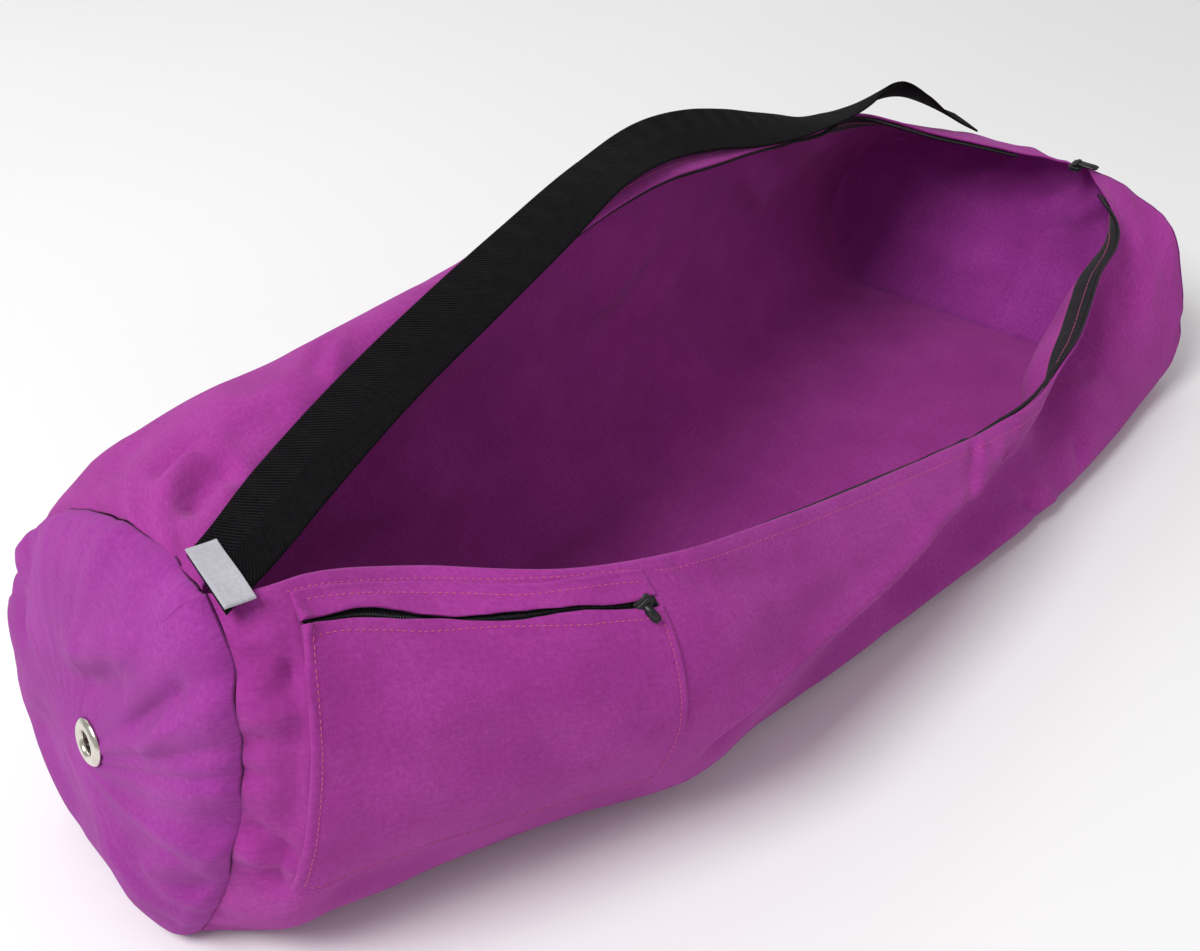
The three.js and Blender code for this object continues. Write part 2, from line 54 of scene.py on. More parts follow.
# one row per cross-section of the tube, from the near seam to the far seam
COLUMNS = ("x lean yaw fe_y fe_z fb_y fb_z fs_y fs_z ft_y ft_z ff_y ff_z fc "
           "bc bs_y bs_z bb_y bb_z cr_y cr_z be_y be_z").split()
SECTIONS = np.array([
    [-395, .13, .15,  -28, 218,  -46, 198,   -50, 150,   -40, 92,   -17, 36,   14,  108,  170, 112,  117, 180,   38, 216,  -24, 218],
    [-380, .12, .13,  -38, 217,  -62, 190,   -68, 135,   -59, 72,   -34, 25,    6,  104,  169, 114,  124, 185,   42, 220,  -14, 218],
    [-350, .10, .08,  -43, 212,  -74, 180,   -86, 122,   -71, 58,   -46, 19,   -6,   98,  164, 114,  125, 193,   46, 224,   -3, 215],
    [-300, .06, .03,  -54, 196,  -92, 168,  -109, 112,   -90, 54,   -63, 17,  -22,   90,  150, 114,  117, 203,   55, 232,   16, 208],
    [-240, .03, .00,  -98, 183, -124, 152,  -135, 104,  -114, 52,   -88, 16,  -47,   82,  138, 116,  106, 206,   61, 235,   29, 211],
    [-180, .00, .00, -118, 170, -146, 138,  -156,  96,  -142, 48,  -118, 15,  -76,   76,  130, 118,  100, 209,   67, 235,   38, 216],
    [-110, .00, .00, -122, 149, -148, 118,  -159,  86,  -140, 44,  -127, 15,  -92,   72,  124, 120,  100, 214,   72, 233,   50, 221],
    [ -45, .00, .00, -124, 131, -148, 108,  -158,  84,  -135, 44,  -135, 15, -102,   71,  120, 124,  102, 217,   78, 236,   58, 227],
    [  40, .00, .00, -128, 112, -146, 100,  -155,  82,  -131, 45,  -143, 15, -111,   74,  120, 122,  106, 214,   88, 234,   66, 227],
    [ 110, .00, .00, -134, 101, -144,  92,  -148,  77,  -128, 45,  -149, 15, -116,   78,  128, 116,  110, 203,   92, 221,   72, 215],
    [ 170, .02, .00, -138,  99, -137,  86,  -131,  68,  -126, 45,  -152, 15, -120,   84,  140, 106,  115, 190,   94, 205,   79, 203],
    [ 225, .08, .00, -126, 106, -118,  90,  -114,  68,  -126, 44,  -151, 15, -120,   90,  152,  96,  122, 171,  101, 186,   88, 189],
    [ 280, .16, .00, -107, 115, -100,  98,  -104,  74,  -128, 46,  -148, 15, -118,   96,  160,  84,  131, 148,  108, 167,   97, 178],
    [ 335, .27, .00,  -85, 126,  -84, 112,  -104,  84,  -131, 50,  -143, 16, -114,  100,  166,  70,  137, 133,  100, 148,   50, 149],
    [ 375, .37, .00,  -31, 132,  -72, 126,  -106, 110,  -132, 68,  -139, 18, -110,  104,  170,  62,  140, 110,   60, 133,  -27, 132],
], float)
STRAP = np.array([  # x, y, z, bank, skew along the webbing
    [-370, -27, 220.6, 12, 24],
    [-350, -20, 221.2, 12, 22],
    [-300, 2, 220.5, 12, 10],
    [-230, 25, 225, 13, 0],
    [-150, 43, 233, 16, 0],
    [-80, 60, 237.2, 13, 0],
    [0, 78, 242.8, 4, 0],
    [80, 92, 235.6, 23, 0],
    [110, 92, 229.8, 26, 0],
    [154, 93, 216.6, 26, 0],
    [192, 94.5, 205.2, 16, 0],
    [232, 97, 194.8, 2, 0],
    [278, 104.5, 182, -12, 0],
    [304, 108, 177.5, -19, 0],
    [324, 110, 175.2, -27, 0],
    [341, 109, 176, -38, 0],
    [358, 105.5, 176.5, -40, 0],
    [382, 96, 168, -18, 0],
    [405, 84, 152, -4, 0],
    [425, 72, 139.5, 0, 0],
], float)


def slopes(x, y):
    d = (y[1:] - y[:-1]) / (x[1:] - x[:-1])[:, None]
    m = np.empty_like(y)
    m[0], m[-1] = d[0], d[-1]
    h0, h1 = (x[1:-1] - x[:-2])[:, None], (x[2:] - x[1:-1])[:, None]
    m[1:-1] = (d[:-1] * h1 + d[1:] * h0) / (h0 + h1)
    return m


def hermite(x, y, m, at):
    at = np.atleast_1d(np.asarray(at, float))
    i = np.clip(np.searchsorted(x, at, side="left") - 1, 0, len(x) - 2)
    h = (x[i + 1] - x[i])[:, None]
    t = (at - x[i])[:, None] / h
    t2, t3 = t * t, t * t * t
    return (2 * t3 - 3 * t2 + 1) * y[i] + (t3 - 2 * t2 + t) * m[i] * h + (3 * t2 - 2 * t3) * y[i + 1] + (t3 - t2) * m[i + 1] * h


ROW_X = SECTIONS[:, 0]
ROW_M = slopes(ROW_X, SECTIONS)


def row_at(x0):
    v = hermite(ROW_X, SECTIONS, ROW_M, x0)[0]
    r = dict(zip(COLUMNS, v))
    r["x"] = float(x0)
    return r


def smooth(pts, flat_start, flat_end, per=20):
    p = np.array(pts, float)
    seg = np.sqrt(np.hypot(*(p[1:] - p[:-1]).T))
    k = np.concatenate([[0], np.cumsum(seg)])
    m = slopes(k, p)
    m[0] = 1.5 * (p[1] - p[0]) / seg[0] - 0.5 * m[1]
    m[-1] = 1.5 * (p[-1] - p[-2]) / seg[-1] - 0.5 * m[-2]
    if flat_start:
        m[0] = [math.hypot(*m[0]), 0]
    if flat_end:
        m[-1] = [math.hypot(*m[-1]), 0]
    at = np.concatenate([k[i] + seg[i] * np.arange(per) / per for i in range(len(seg))] + [[k[-1]]])
    return hermite(k, p, m, at)


def along(line, dist):
    s = np.concatenate([[0], np.cumsum(np.hypot(*(line[1:] - line[:-1]).T))])
    return np.stack([np.interp(dist, s, line[:, 0]), np.interp(dist, s, line[:, 1])], 1)


def length_of(line):
    return float(np.hypot(*(line[1:] - line[:-1]).T).sum())


EDGE = [0, 1.2, 2.6, 4.2, 6, 7.6, 9, 10.4, 12, 14, 16, 18.5, 21.5]
N_FRONT, N_FLOOR, N_BACK = 70, 12, 88


def section(x0):
    """points of one cross-section with, for each, its distance from the front edge and from the back edge"""
    r = row_at(x0)
    front = smooth([[r["fe_y"], r["fe_z"]], [r["fb_y"], r["fb_z"]], [r["fs_y"], r["fs_z"]], [r["ft_y"], r["ft_z"]], [r["ff_y"], r["ff_z"]], [r["fc"], 0]], False, True)
    low = [r["bc"] + 0.62 * (r["bs_y"] - r["bc"]), 0.2 * r["bs_z"]]
    back = smooth([[r["bc"], 0], low, [r["bs_y"], r["bs_z"]], [r["bb_y"], r["bb_z"]], [r["cr_y"], r["cr_z"]], [r["be_y"], r["be_z"]]], True, False)
    lf, lb = length_of(front), length_of(back)
    fd = np.concatenate([EDGE, 25 + (lf - 25) * np.arange(N_FRONT) / (N_FRONT - 1)])
    bd = np.concatenate([(lb - 25) * np.arange(N_BACK) / (N_BACK - 1), lb - np.array(EDGE[::-1])])
    f, b = along(front, fd), along(back, bd)
    f[-1], b[0] = [r["fc"], 0], [r["bc"], 0]
    fl = np.stack([r["fc"] + (r["bc"] - r["fc"]) * np.arange(1, N_FLOOR) / N_FLOOR, np.zeros(N_FLOOR - 1)], 1)
    yz = np.concatenate([f, fl, b])
    z = np.maximum(yz[:, 1], 0)
    p = np.stack([x0 + r["lean"] * z + r["yaw"] * yz[:, 0], yz[:, 0], z], 1)
    total = lf + (r["bc"] - r["fc"]) + lb
    arc = np.concatenate([fd, lf + (r["bc"] - r["fc"]) * np.arange(1, N_FLOOR) / N_FLOOR, lf + (r["bc"] - r["fc"]) + bd])
    return p, arc, total - arc, lf, lb


NEAR_X = np.concatenate([[-395, -394.2, -393, -391.4, -389.5, -387, -384, -380.5, -377, -374, -371], np.linspace(-367, 340, 216), np.linspace(343, 371, 11), [372.6, 373.8, 374.6, 375]])


def build_grid(stations):
    P, A, B = [], [], []
    for x0 in stations:
        p, a, b, lf, lb = section(x0)
        P.append(p); A.append(a); B.append(b)
    return np.array(P), np.array(A), np.array(B)


def normals_of(P):
    du = np.gradient(P, axis=0)
    dv = np.gradient(P, axis=1)
    n = np.cross(dv, du)
    n /= np.maximum(np.linalg.norm(n, axis=2, keepdims=True), 1e-9)
    m = n[len(P) // 2, 20]
    c = P[len(P) // 2, 20] - np.array([P[len(P) // 2, 20, 0], 0, 90])
    return n if m @ c > 0 else -n


# ---- folds: one row each, as a line over the cloth -------------------------------
# width and height in mm (height below zero is a valley), taper is the share of each end that fades,
# and the points are (station, distance from the slit's edge)
FRONT_FOLDS = [
    # name, width, height, taper, points
    ("ridge", 7, 3.0, .15, [(-197, 134), (-163, 89), (-98, 68), (-51, 58), (-12, 48), (18, 37), (61, 31), (100, 18), (147, 8)]),
    ("undercut", 13, -5.0, .2, [(-205, 150), (-163, 110), (-98, 90), (-51, 80), (-12, 70), (18, 60), (61, 54), (100, 42), (160, 30)]),
    ("foot slack", 16, -2.4, .3, [(-374, 178), (-340, 176), (-296, 170)]),
    ("seam knuckle", 13, 3.2, .3, [(-404, 42), (-384, 60)]),
    ("seam notch", 5, -1.8, .3, [(-402, 86), (-384, 90)]),
    ("seam knuckle 2", 14, 1.8, .3, [(-404, 136), (-386, 150)]),
    ("hem flare", 9, 2.2, .25, [(186, 1), (240, 1), (290, 1), (340, 1)]),
    ("slit hollow", 5.5, -2.4, .04, [(-364, 19.5), (-350, 21), (-335, 22), (-317, 25), (-305, 28), (-293, 30), (-281, 28.5), (-269, 26), (-255, 22.5), (-242, 20.5), (-228, 21.5), (-208, 22)]),
    ("ridge break", 6, -5.0, .12, [(-190, 134), (-156, 97), (-95, 76), (-48, 66), (-10, 56), (22, 45), (66, 38), (104, 26), (150, 14)]),
    ("pocket side", 3.6, -2.3, .1, [(-373, 22), (-377, 49), (-380, 80), (-381, 118), (-383, 140), (-385, 171)]),
    ("under label 1", 3.2, 1.2, .3, [(-390, 20), (-382, 22), (-373, 21)]),
    ("under label 2", 3.0, -1.4, .3, [(-392, 27), (-383, 29), (-376, 26)]),
    ("side dent", 5, -3.0, .3, [(-389, 52), (-382, 45), (-375, 34), (-372, 30)]),
    ("side swell", 5, 2.2, .3, [(-390, 66), (-383, 58), (-376, 50)]),
    ("corner pleat", 4.2, -3.2, .25, [(-394, 114), (-387, 128), (-381, 139), (-376, 143)]),
    ("corner swell", 4.0, 1.8, .25, [(-394, 126), (-386, 141), (-380, 152)]),
    ("corner pleat 2", 5, -1.5, .25, [(-393, 140), (-384, 158), (-374, 168)]),
    ("hem kink", 3.4, 1.7, .15, [(97, 1), (84, 12), (66, 24), (50, 38)]),
    ("hem kink dark", 3.4, -1.8, .15, [(90, 1), (76, 13), (56, 28), (36, 44)]),
    ("hem pull", 4, -1.2, .2, [(128, 3), (116, 14), (104, 24)]),
    ("belly 1", 9, -1.3, .3, [(-192, 12), (-160, 20), (-115, 26), (-60, 30)]),
    ("belly 2", 12, 1.2, .3, [(-180, 40), (-120, 40), (-70, 36)]),
    ("belly 3", 8, -0.9, .3, [(-150, 62), (-100, 50), (-50, 42), (-15, 36)]),
    ("hem pucker 1", 3, -0.9, .2, [(-186, 2), (-178, 12), (-170, 22)]),
    ("hem pucker 2", 3, 0.8, .2, [(-176, 2), (-167, 12), (-160, 20)]),
    ("pocket sag 1", 14, 1.6, .3, [(-345, 70), (-290, 66), (-235, 62)]),
    ("pocket sag 2", 16, -1.2, .3, [(-340, 108), (-290, 100), (-240, 90)]),
    ("foot crease 1", 4, -2.6, .25, [(150, 78), (158, 92), (164, 104)]),
    ("foot crease 2", 5, 1.6, .25, [(166, 76), (176, 90), (184, 104)]),
    ("foot crease 3", 6, -2.0, .25, [(232, 84), (222, 96), (214, 106)]),
    ("far hollow 1", 24, -9.6, .3, [(176, 40), (225, 42), (280, 40), (334, 36)]),
    ("far hollow 2", 9, -2.6, .25, [(300, 22), (318, 34), (330, 50), (330, 74)]),
    ("far swell", 12, 2.2, .3, [(344, 30), (352, 56), (350, 88)]),
    ("far pleat 1", 5, -1.6, .3, [(270, 60), (286, 74), (298, 92)]),
    ("far pleat 2", 5, 1.4, .3, [(246, 56), (262, 72), (272, 92)]),
]
BACK_FOLDS = [
    ("root dent 1", 8, -7.0, .3, [(-377, 24), (-366, 34), (-352, 36), (-338, 30), (-326, 22)]),
    ("root swell", 6, 3.2, .3, [(-380, 46), (-366, 50), (-350, 52), (-336, 44)]),
    ("root dent 2", 5, -3.0, .3, [(-372, 62), (-358, 64), (-344, 58), (-334, 50)]),
    ("root swell 2", 7, 2.0, .3, [(-352, 18), (-344, 26), (-338, 36)]),
    ("wall pull 1", 10, -2.4, .3, [(-330, 40), (-300, 34), (-272, 26)]),
    ("wall pull 2", 6, 1.8, .3, [(-252, 22), (-240, 30), (-228, 36), (-214, 36)]),
    ("wall pull 3", 5, -2.6, .3, [(-258, 30), (-246, 38), (-232, 44), (-216, 44)]),
    ("crest dip", 14, -2.6, .35, [(-300, 60), (-262, 56), (-230, 62)]),
    ("shoulder 1", 12, -3.0, .35, [(-385, 96), (-362, 104), (-330, 108)]),
    ("shoulder 2", 12, 1.2, .35, [(-380, 130), (-350, 134), (-318, 128)]),
    ("end slack", 20, -3.2, .3, [(-397, 190), (-394, 244)]),
    ("shoulder slack", 30, -2.8, .3, [(-364, 148), (-320, 156), (-270, 158), (-228, 150)]),
    ("wall long 1", 18, -2.2, .35, [(-180, 112), (-110, 126), (-40, 120), (20, 108)]),
    ("wall long 2", 16, 2.0, .35, [(-120, 90), (-60, 84), (10, 76), (70, 66)]),
    ("wall diagonal", 9, -2.8, .3, [(10, 150), (46, 140), (84, 118), (118, 92)]),
    ("wall diagonal 2", 10, 2.4, .3, [(34, 164), (70, 152), (112, 126), (142, 100)]),
    ("wall diagonal 3", 9, -2.4, .3, [(66, 172), (104, 160), (140, 136), (176, 108)]),
    ("far wall 1", 10, -3.0, .3, [(190, 52), (214, 74), (240, 92), (270, 104)]),
    ("far wall 2", 10, 2.4, .3, [(222, 40), (248, 62), (280, 80)]),
    ("far wall 3", 9, -2.4, .3, [(256, 30), (286, 50), (318, 62)]),
    ("outer low 1", 20, -2.6, .35, [(-240, 210), (-160, 216), (-60, 206)]),
    ("outer low 2", 18, 2.2, .35, [(-60, 176), (40, 168), (120, 160)]),
]
# the near end panel: points are (y, z) of the panel
NEAR_FOLDS = [
    ("left ridge", 8, 0.5, .12, [(140, 178), (148, 156), (153, 132), (154, 104)]),
    ("right of ridge", 12, -3.0, .2, [(116, 186), (124, 160), (130, 134), (132, 108)]),
    ("left of ridge", 10, -3.0, .2, [(150, 182), (160, 168), (165, 150), (166, 128)]),
    ("left slack", 17, -3.8, .25, [(134, 78), (116, 56), (100, 38), (80, 22)]),
    ("low belly", 18, 3.4, .35, [(44, 70), (26, 52), (12, 36), (0, 24)]),
    ("root pull 1", 6, -3.0, .3, [(-34, 196), (-22, 172), (0, 148), (18, 130)]),
    ("root pull 2", 7, 2.4, .3, [(-30, 176), (-16, 152), (2, 130)]),
    ("root pull 3", 10, -3.2, .35, [(4, 186), (22, 160), (46, 140), (72, 124)]),
    ("root pull 4", 10, 3.0, .35, [(-6, 200), (14, 178), (44, 158), (80, 146)]),
    ("slope ridge", 14, 1.0, .35, [(96, 122), (70, 92), (44, 62), (20, 34)]),
    ("slope valley", 14, -2.6, .35, [(120, 96), (96, 70), (70, 46)]),
    ("seam dent", 6, -2.4, .3, [(-46, 132), (-40, 108), (-30, 84)]),
    ("corner dent", 6, -3.0, .3, [(-30, 74), (-20, 60), (-6, 52)]),
    ("corner swell", 7, 2.2, .3, [(-18, 84), (-6, 70), (8, 60)]),
]
FAR_FOLDS = [
    ("pull 1", 9, -3.0, .3, [(-60, 122), (-40, 96), (-16, 72)]),
    ("pull 2", 10, 2.6, .3, [(-30, 126), (-8, 100), (20, 80)]),
    ("pull 3", 10, -3.0, .3, [(20, 128), (40, 104), (66, 84)]),
    ("pull 4", 10, 2.4, .3, [(66, 122), (84, 96), (104, 76)]),
    ("low roll", 12, -2.6, .3, [(-110, 36), (-40, 30), (60, 30), (120, 36)]),
]


def smoothstep(a, b, x):
    t = np.clip((x - a) / (b - a), 0, 1)
    return t * t * (3 - 2 * t)


def fold_field(A, B, folds, scale=1.0):
    """sum of the folds at points whose two cloth coordinates are A and B"""
    out = np.zeros_like(A)
    for name, width, height, taper, pts in folds:
        p = np.array(pts, float)
        best = np.full(A.shape, 1e9)
        at = np.zeros_like(A)
        seg = np.hypot(*(p[1:] - p[:-1]).T)
        s0 = np.concatenate([[0], np.cumsum(seg)])
        for k in range(len(seg)):
            d = (p[k + 1] - p[k]) / seg[k]
            t = np.clip((A - p[k, 0]) * d[0] + (B - p[k, 1]) * d[1], 0, seg[k])
            q = (A - p[k, 0] - t * d[0]) ** 2 + (B - p[k, 1] - t * d[1]) ** 2
            m = q < best
            best[m] = q[m]
            at[m] = (s0[k] + t[m]) / s0[-1]
        fade = smoothstep(0, taper, at) * smoothstep(0, taper, 1 - at)
        out += scale * height * np.exp(-best / width ** 2) * fade
    return out


def value_noise(A, B, size, seed):
    """smooth seeded noise over two cloth coordinates, about -1 to 1"""
    rng = np.random.RandomState(seed)
    g = rng.uniform(-1, 1, (64, 64))
    a, b = A / size, B / size
    i, j = np.floor(a).astype(int), np.floor(b).astype(int)
    u, v = a - i, b - j
    u, v = u * u * (3 - 2 * u), v * v * (3 - 2 * v)
    return ((g[i % 64, j % 64] * (1 - u) + g[(i + 1) % 64, j % 64] * u) * (1 - v)
            + (g[i % 64, (j + 1) % 64] * (1 - u) + g[(i + 1) % 64, (j + 1) % 64] * u) * v)


# ---- the cloth tube, fine -----------------------------------------------------
P0, ARC, BARC = build_grid(NEAR_X)
NU, NV = P0.shape[:2]
X0 = np.repeat(NEAR_X[:, None], NV, 1)
N0 = normals_of(P0)
FRONT_SIDE = ARC <= BARC
lift = fold_field(X0, ARC, FRONT_FOLDS, 1.6) + fold_field(X0, BARC, BACK_FOLDS, 1.5)
lift += 0.8 * value_noise(X0, ARC, 46, 3) + 0.45 * value_noise(X0, ARC, 19, 4)
# the hem is doubled cloth, and it puckers a little along its stitches
for arc, seed in ((ARC, 7), (BARC, 8)):
    lift += 0.45 * (1 - smoothstep(8.6, 10.2, arc))
    lift -= 0.35 * np.exp(-((arc - 8.0) / 1.3) ** 2)
    lift += 0.28 * np.exp(-((arc - 9.5) / 7.0) ** 2) * value_noise(X0, arc * 0, 7, seed)
    lift -= 0.5 * (1 - smoothstep(0, 1.3, arc))
# gathers that run into the end seams
for x_end, sign, seed in ((NEAR_X[0], 1, 12), (NEAR_X[-1], -1, 14)):
    lift += 1.3 * np.exp(-((sign * (X0 - x_end)) / 17) ** 2) * value_noise(X0 * 0, ARC, 16, seed)
    lift += 0.7 * np.exp(-((sign * (X0 - x_end)) / 9) ** 2) * value_noise(X0 * 0, ARC, 7, seed + 1)
# the tube turns in at both end seams
for x_end, sign in ((NEAR_X[0], 1), (NEAR_X[-1], -1)):
    lift -= 0.6 * np.exp(-((X0 - x_end) / 2.0) ** 2)
    lift += 0.5 * np.exp(-((sign * (X0 - x_end) - 6) / 3.2) ** 2)
# nothing bulges where the cloth lies on the floor
free = smoothstep(3, 22, P0[..., 2])
lift *= free
P = P0 + N0 * lift[..., None]
P[..., 2] = np.maximum(P[..., 2], 0)
P[P0[..., 2] <= 0.01, 2] = 0
NRM = normals_of(P)
INNER = P - NRM * WALL
INNER[..., 2] = np.maximum(INNER[..., 2], WALL * 0.98)


def to_row(p):
    """design millimetres to the row frame's metres"""
    return (np.asarray(p, float) + SHIFT) / 1000.0


def on_cloth(x0, arc, out=0.0, side="front"):
    """points over the cloth at stations x0 and distances arc from the front or the back edge"""
    x0, arc = np.broadcast_arrays(np.asarray(x0, float), np.asarray(arc, float))
    shape = x0.shape
    x0, arc = x0.ravel(), arc.ravel()
    out = np.broadcast_to(np.asarray(out, float), shape).ravel()
    fi = np.interp(x0, NEAR_X, np.arange(NU))
    i = np.clip(fi.astype(int), 0, NU - 2)
    t = fi - i
    res = np.empty((len(x0), 3))
    table = ARC if side == "front" else BARC
    for n in range(len(x0)):
        pts, nrm = [], []
        for ii in (i[n], i[n] + 1):
            row = table[ii]
            if side == "front":
                fj = np.interp(arc[n], row, np.arange(NV))
            else:
                fj = NV - 1 - np.interp(arc[n], row[::-1], np.arange(NV))
            j = min(int(fj), NV - 2)
            u = fj - j
            pts.append(P[ii, j] * (1 - u) + P[ii, j + 1] * u)
            nrm.append(NRM[ii, j] * (1 - u) + NRM[ii, j + 1] * u)
        p = pts[0] * (1 - t[n]) + pts[1] * t[n]
        v = nrm[0] * (1 - t[n]) + nrm[1] * t[n]
        res[n] = p + out[n] * v / np.linalg.norm(v)
    return res.reshape(shape + (3,))


# ---- mesh helpers ---------------------------------------------------------------
def make(name, verts, faces, uv=None, smooth_shade=True):
    me = bpy.data.meshes.new(name)
    me.from_pydata([tuple(v) for v in np.asarray(verts, float)], [], [tuple(int(i) for i in f) for f in faces])
    me.validate()
    if uv is not None:
        layer = me.uv_layers.new(name="UVMap")
        idx = np.empty(len(me.loops), np.int32)
        me.loops.foreach_get("vertex_index", idx)
        layer.data.foreach_set("uv", np.asarray(uv, np.float32)[idx].ravel())
    me.polygons.foreach_set("use_smooth", [smooth_shade] * len(me.polygons))
    me.update()
    ob = bpy.data.objects.new(name, me)
    bpy.context.scene.collection.objects.link(ob)
    return ob


def outward(verts, faces):
    """turn all faces over if they enclose a negative volume"""
    v = np.asarray(verts, float)
    vol = 0.0
    for f in faces:
        for k in range(1, len(f) - 1):
            vol += v[f[0]] @ np.cross(v[f[k]], v[f[k + 1]])
    return faces if vol > 0 else [tuple(reversed(f)) for f in faces]


def shell(outer, inner, closed_v=False, rim=0):
    """two grids of points, one face each, joined round the rim; the rim argument is not used"""
    nu, nv = outer.shape[:2]
    verts = np.concatenate([outer.reshape(-1, 3), inner.reshape(-1, 3)])
    o = lambda i, j: i * nv + (j % nv)
    n = lambda i, j: nu * nv + i * nv + (j % nv)
    faces = []
    last = nv if closed_v else nv - 1
    for i in range(nu - 1):
        for j in range(last):
            faces.append((o(i, j), o(i, j + 1), o(i + 1, j + 1), o(i + 1, j)))
            faces.append((n(i, j), n(i + 1, j), n(i + 1, j + 1), n(i, j + 1)))
    for j in range(last):
        faces.append((o(0, j + 1), o(0, j), n(0, j), n(0, j + 1)))
        faces.append((o(nu - 1, j), o(nu - 1, j + 1), n(nu - 1, j + 1), n(nu - 1, j)))
    if not closed_v:
        for i in range(nu - 1):
            faces.append((o(i, 0), o(i + 1, 0), n(i + 1, 0), n(i, 0)))
            faces.append((o(i + 1, nv - 1), o(i, nv - 1), n(i, nv - 1), n(i + 1, nv - 1)))
    return verts, faces


def frames_along(pts):
    """unit tangents of a polyline"""
    t = np.gradient(pts, axis=0)
    return t / np.maximum(np.linalg.norm(t, axis=1, keepdims=True), 1e-9)


def tube(path, radius, sides=6, up=None, flat=1.0, cap=True):
    """round or flattened bar along a path (design mm): verts, faces"""
    path = np.asarray(path, float)
    t = frames_along(path)
    ref = np.broadcast_to(np.array([0, 0, 1.0]) if up is None else np.asarray(up, float), path.shape)
    a = np.cross(t, ref)
    a /= np.maximum(np.linalg.norm(a, axis=1, keepdims=True), 1e-9)
    b = np.cross(a, t)
    radius = np.broadcast_to(np.asarray(radius, float), (len(path),))
    ang = 2 * np.pi * np.arange(sides) / sides
    ring = path[:, None] + radius[:, None, None] * (np.cos(ang)[None, :, None] * a[:, None] + flat * np.sin(ang)[None, :, None] * b[:, None])
    verts = ring.reshape(-1, 3)
    faces = []
    for i in range(len(path) - 1):
        for j in range(sides):
            faces.append((i * sides + j, i * sides + (j + 1) % sides, (i + 1) * sides + (j + 1) % sides, (i + 1) * sides + j))
    if cap:
        faces.append(tuple(range(sides))[::-1])
        faces.append(tuple((len(path) - 1) * sides + j for j in range(sides)))
    return verts, faces


def joined(parts):
    verts, faces, k = [], [], 0
    for v, f in parts:
        verts.append(v)
        faces += [tuple(i + k for i in q) for q in f]
        k += len(v)
    return np.concatenate(verts), faces


def stitches(line, normals, pitch=3.2, length=2.3, radius=0.32, sink=0.12, seed=1, jitter=0.25):
    """a row of single threads lying in the cloth along a line (design mm)"""
    rng = np.random.RandomState(seed)
    s = np.concatenate([[0], np.cumsum(np.linalg.norm(line[1:] - line[:-1], axis=1))])
    parts = []
    for c in np.arange(pitch, s[-1] - pitch, pitch):
        m = c + rng.uniform(-.1, .1) * pitch
        at = m + length * np.array([-.5, -.3, 0, .3, .5])
        q = np.stack([np.interp(at, s, line[:, k]) for k in range(3)], 1)
        nn = np.array([np.interp(m, s, normals[:, k]) for k in range(3)])
        nn /= np.linalg.norm(nn)
        d = q[-1] - q[0]
        side = np.cross(nn, d)
        side /= max(np.linalg.norm(side), 1e-9)
        q = q + side * (rng.uniform(-jitter, jitter) * np.array([-1, -.6, 0, .6, 1]))[:, None]
        q = q + nn * (np.array([-.3, .08, .22, .08, -.3]) - sink)[:, None]
        parts.append(tube(q, radius * np.array([.6, .95, 1, .95, .6]), 5, up=nn, flat=.8))
    return joined(parts)


def cloth_line(xs, arcs, out, side="front"):
    """points over the cloth and the outward directions there"""
    a = on_cloth(xs, arcs, out, side)
    b = on_cloth(xs, arcs, out + 1.0, side)
    return a, b - a


def finish_piece(ob, mat, nodes=()):
    ob.data.materials.clear()
    ob.data.materials.append(mat)
    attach(ob, "root")
    if nodes:
        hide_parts(*nodes)
    return ob


# ---- materials, all from nodes ------------------------------------------------------
def new_material(name):
    m = bpy.data.materials.new(name)
    m.use_nodes = True
    nt = m.node_tree
    nt.nodes.clear()
    out = nt.nodes.new("ShaderNodeOutputMaterial")
    bsdf = nt.nodes.new("ShaderNodeBsdfPrincipled")
    nt.links.new(bsdf.outputs[0], out.inputs[0])
    return m, nt, bsdf


def node(nt, kind, **values):
    n = nt.nodes.new(kind)
    for k, v in values.items():
        if k.startswith("in_"):
            n.inputs[k[3:].replace("_", " ")].default_value = v
        else:
            setattr(n, k, v)
    return n


def math_node(nt, op, a, b=None, clamp=False):
    n = nt.nodes.new("ShaderNodeMath")
    n.operation = op
    n.use_clamp = clamp
    for k, v in enumerate((a, b)):
        if v is None:
            continue
        if isinstance(v, (int, float)):
            n.inputs[k].default_value = v
        else:
            nt.links.new(v, n.inputs[k])
    return n.outputs[0]


def mix_colour(nt, fac, a, b, mode="MIX"):
    n = nt.nodes.new("ShaderNodeMix")
    n.data_type = "RGBA"
    n.blend_type = mode
    n.clamp_factor = True
    for sock, v in ((n.inputs["Factor"], fac), (n.inputs[6], a), (n.inputs[7], b)):
        if isinstance(v, (int, float)):
            sock.default_value = v
        elif isinstance(v, tuple):
            sock.default_value = v
        else:
            nt.links.new(v, sock)
    return n.outputs[2]


def ramp(nt, src, stops):
    r = nt.nodes.new("ShaderNodeValToRGB")
    e = r.color_ramp.elements
    while len(e) < len(stops):
        e.new(0.5)
    for k, (pos, col) in enumerate(stops):
        e[k].position = pos
        e[k].color = col if len(col) == 4 else (*col, 1)
    nt.links.new(src, r.inputs[0])
    return r.outputs[0]


def grey(v):
    return (v, v, v, 1)


def linear(r, g, b):
    f = lambda c: ((c / 255 + 0.055) / 1.055) ** 2.4 if c > 10 else c / 255 / 12.92
    return (f(r), f(g), f(b), 1)


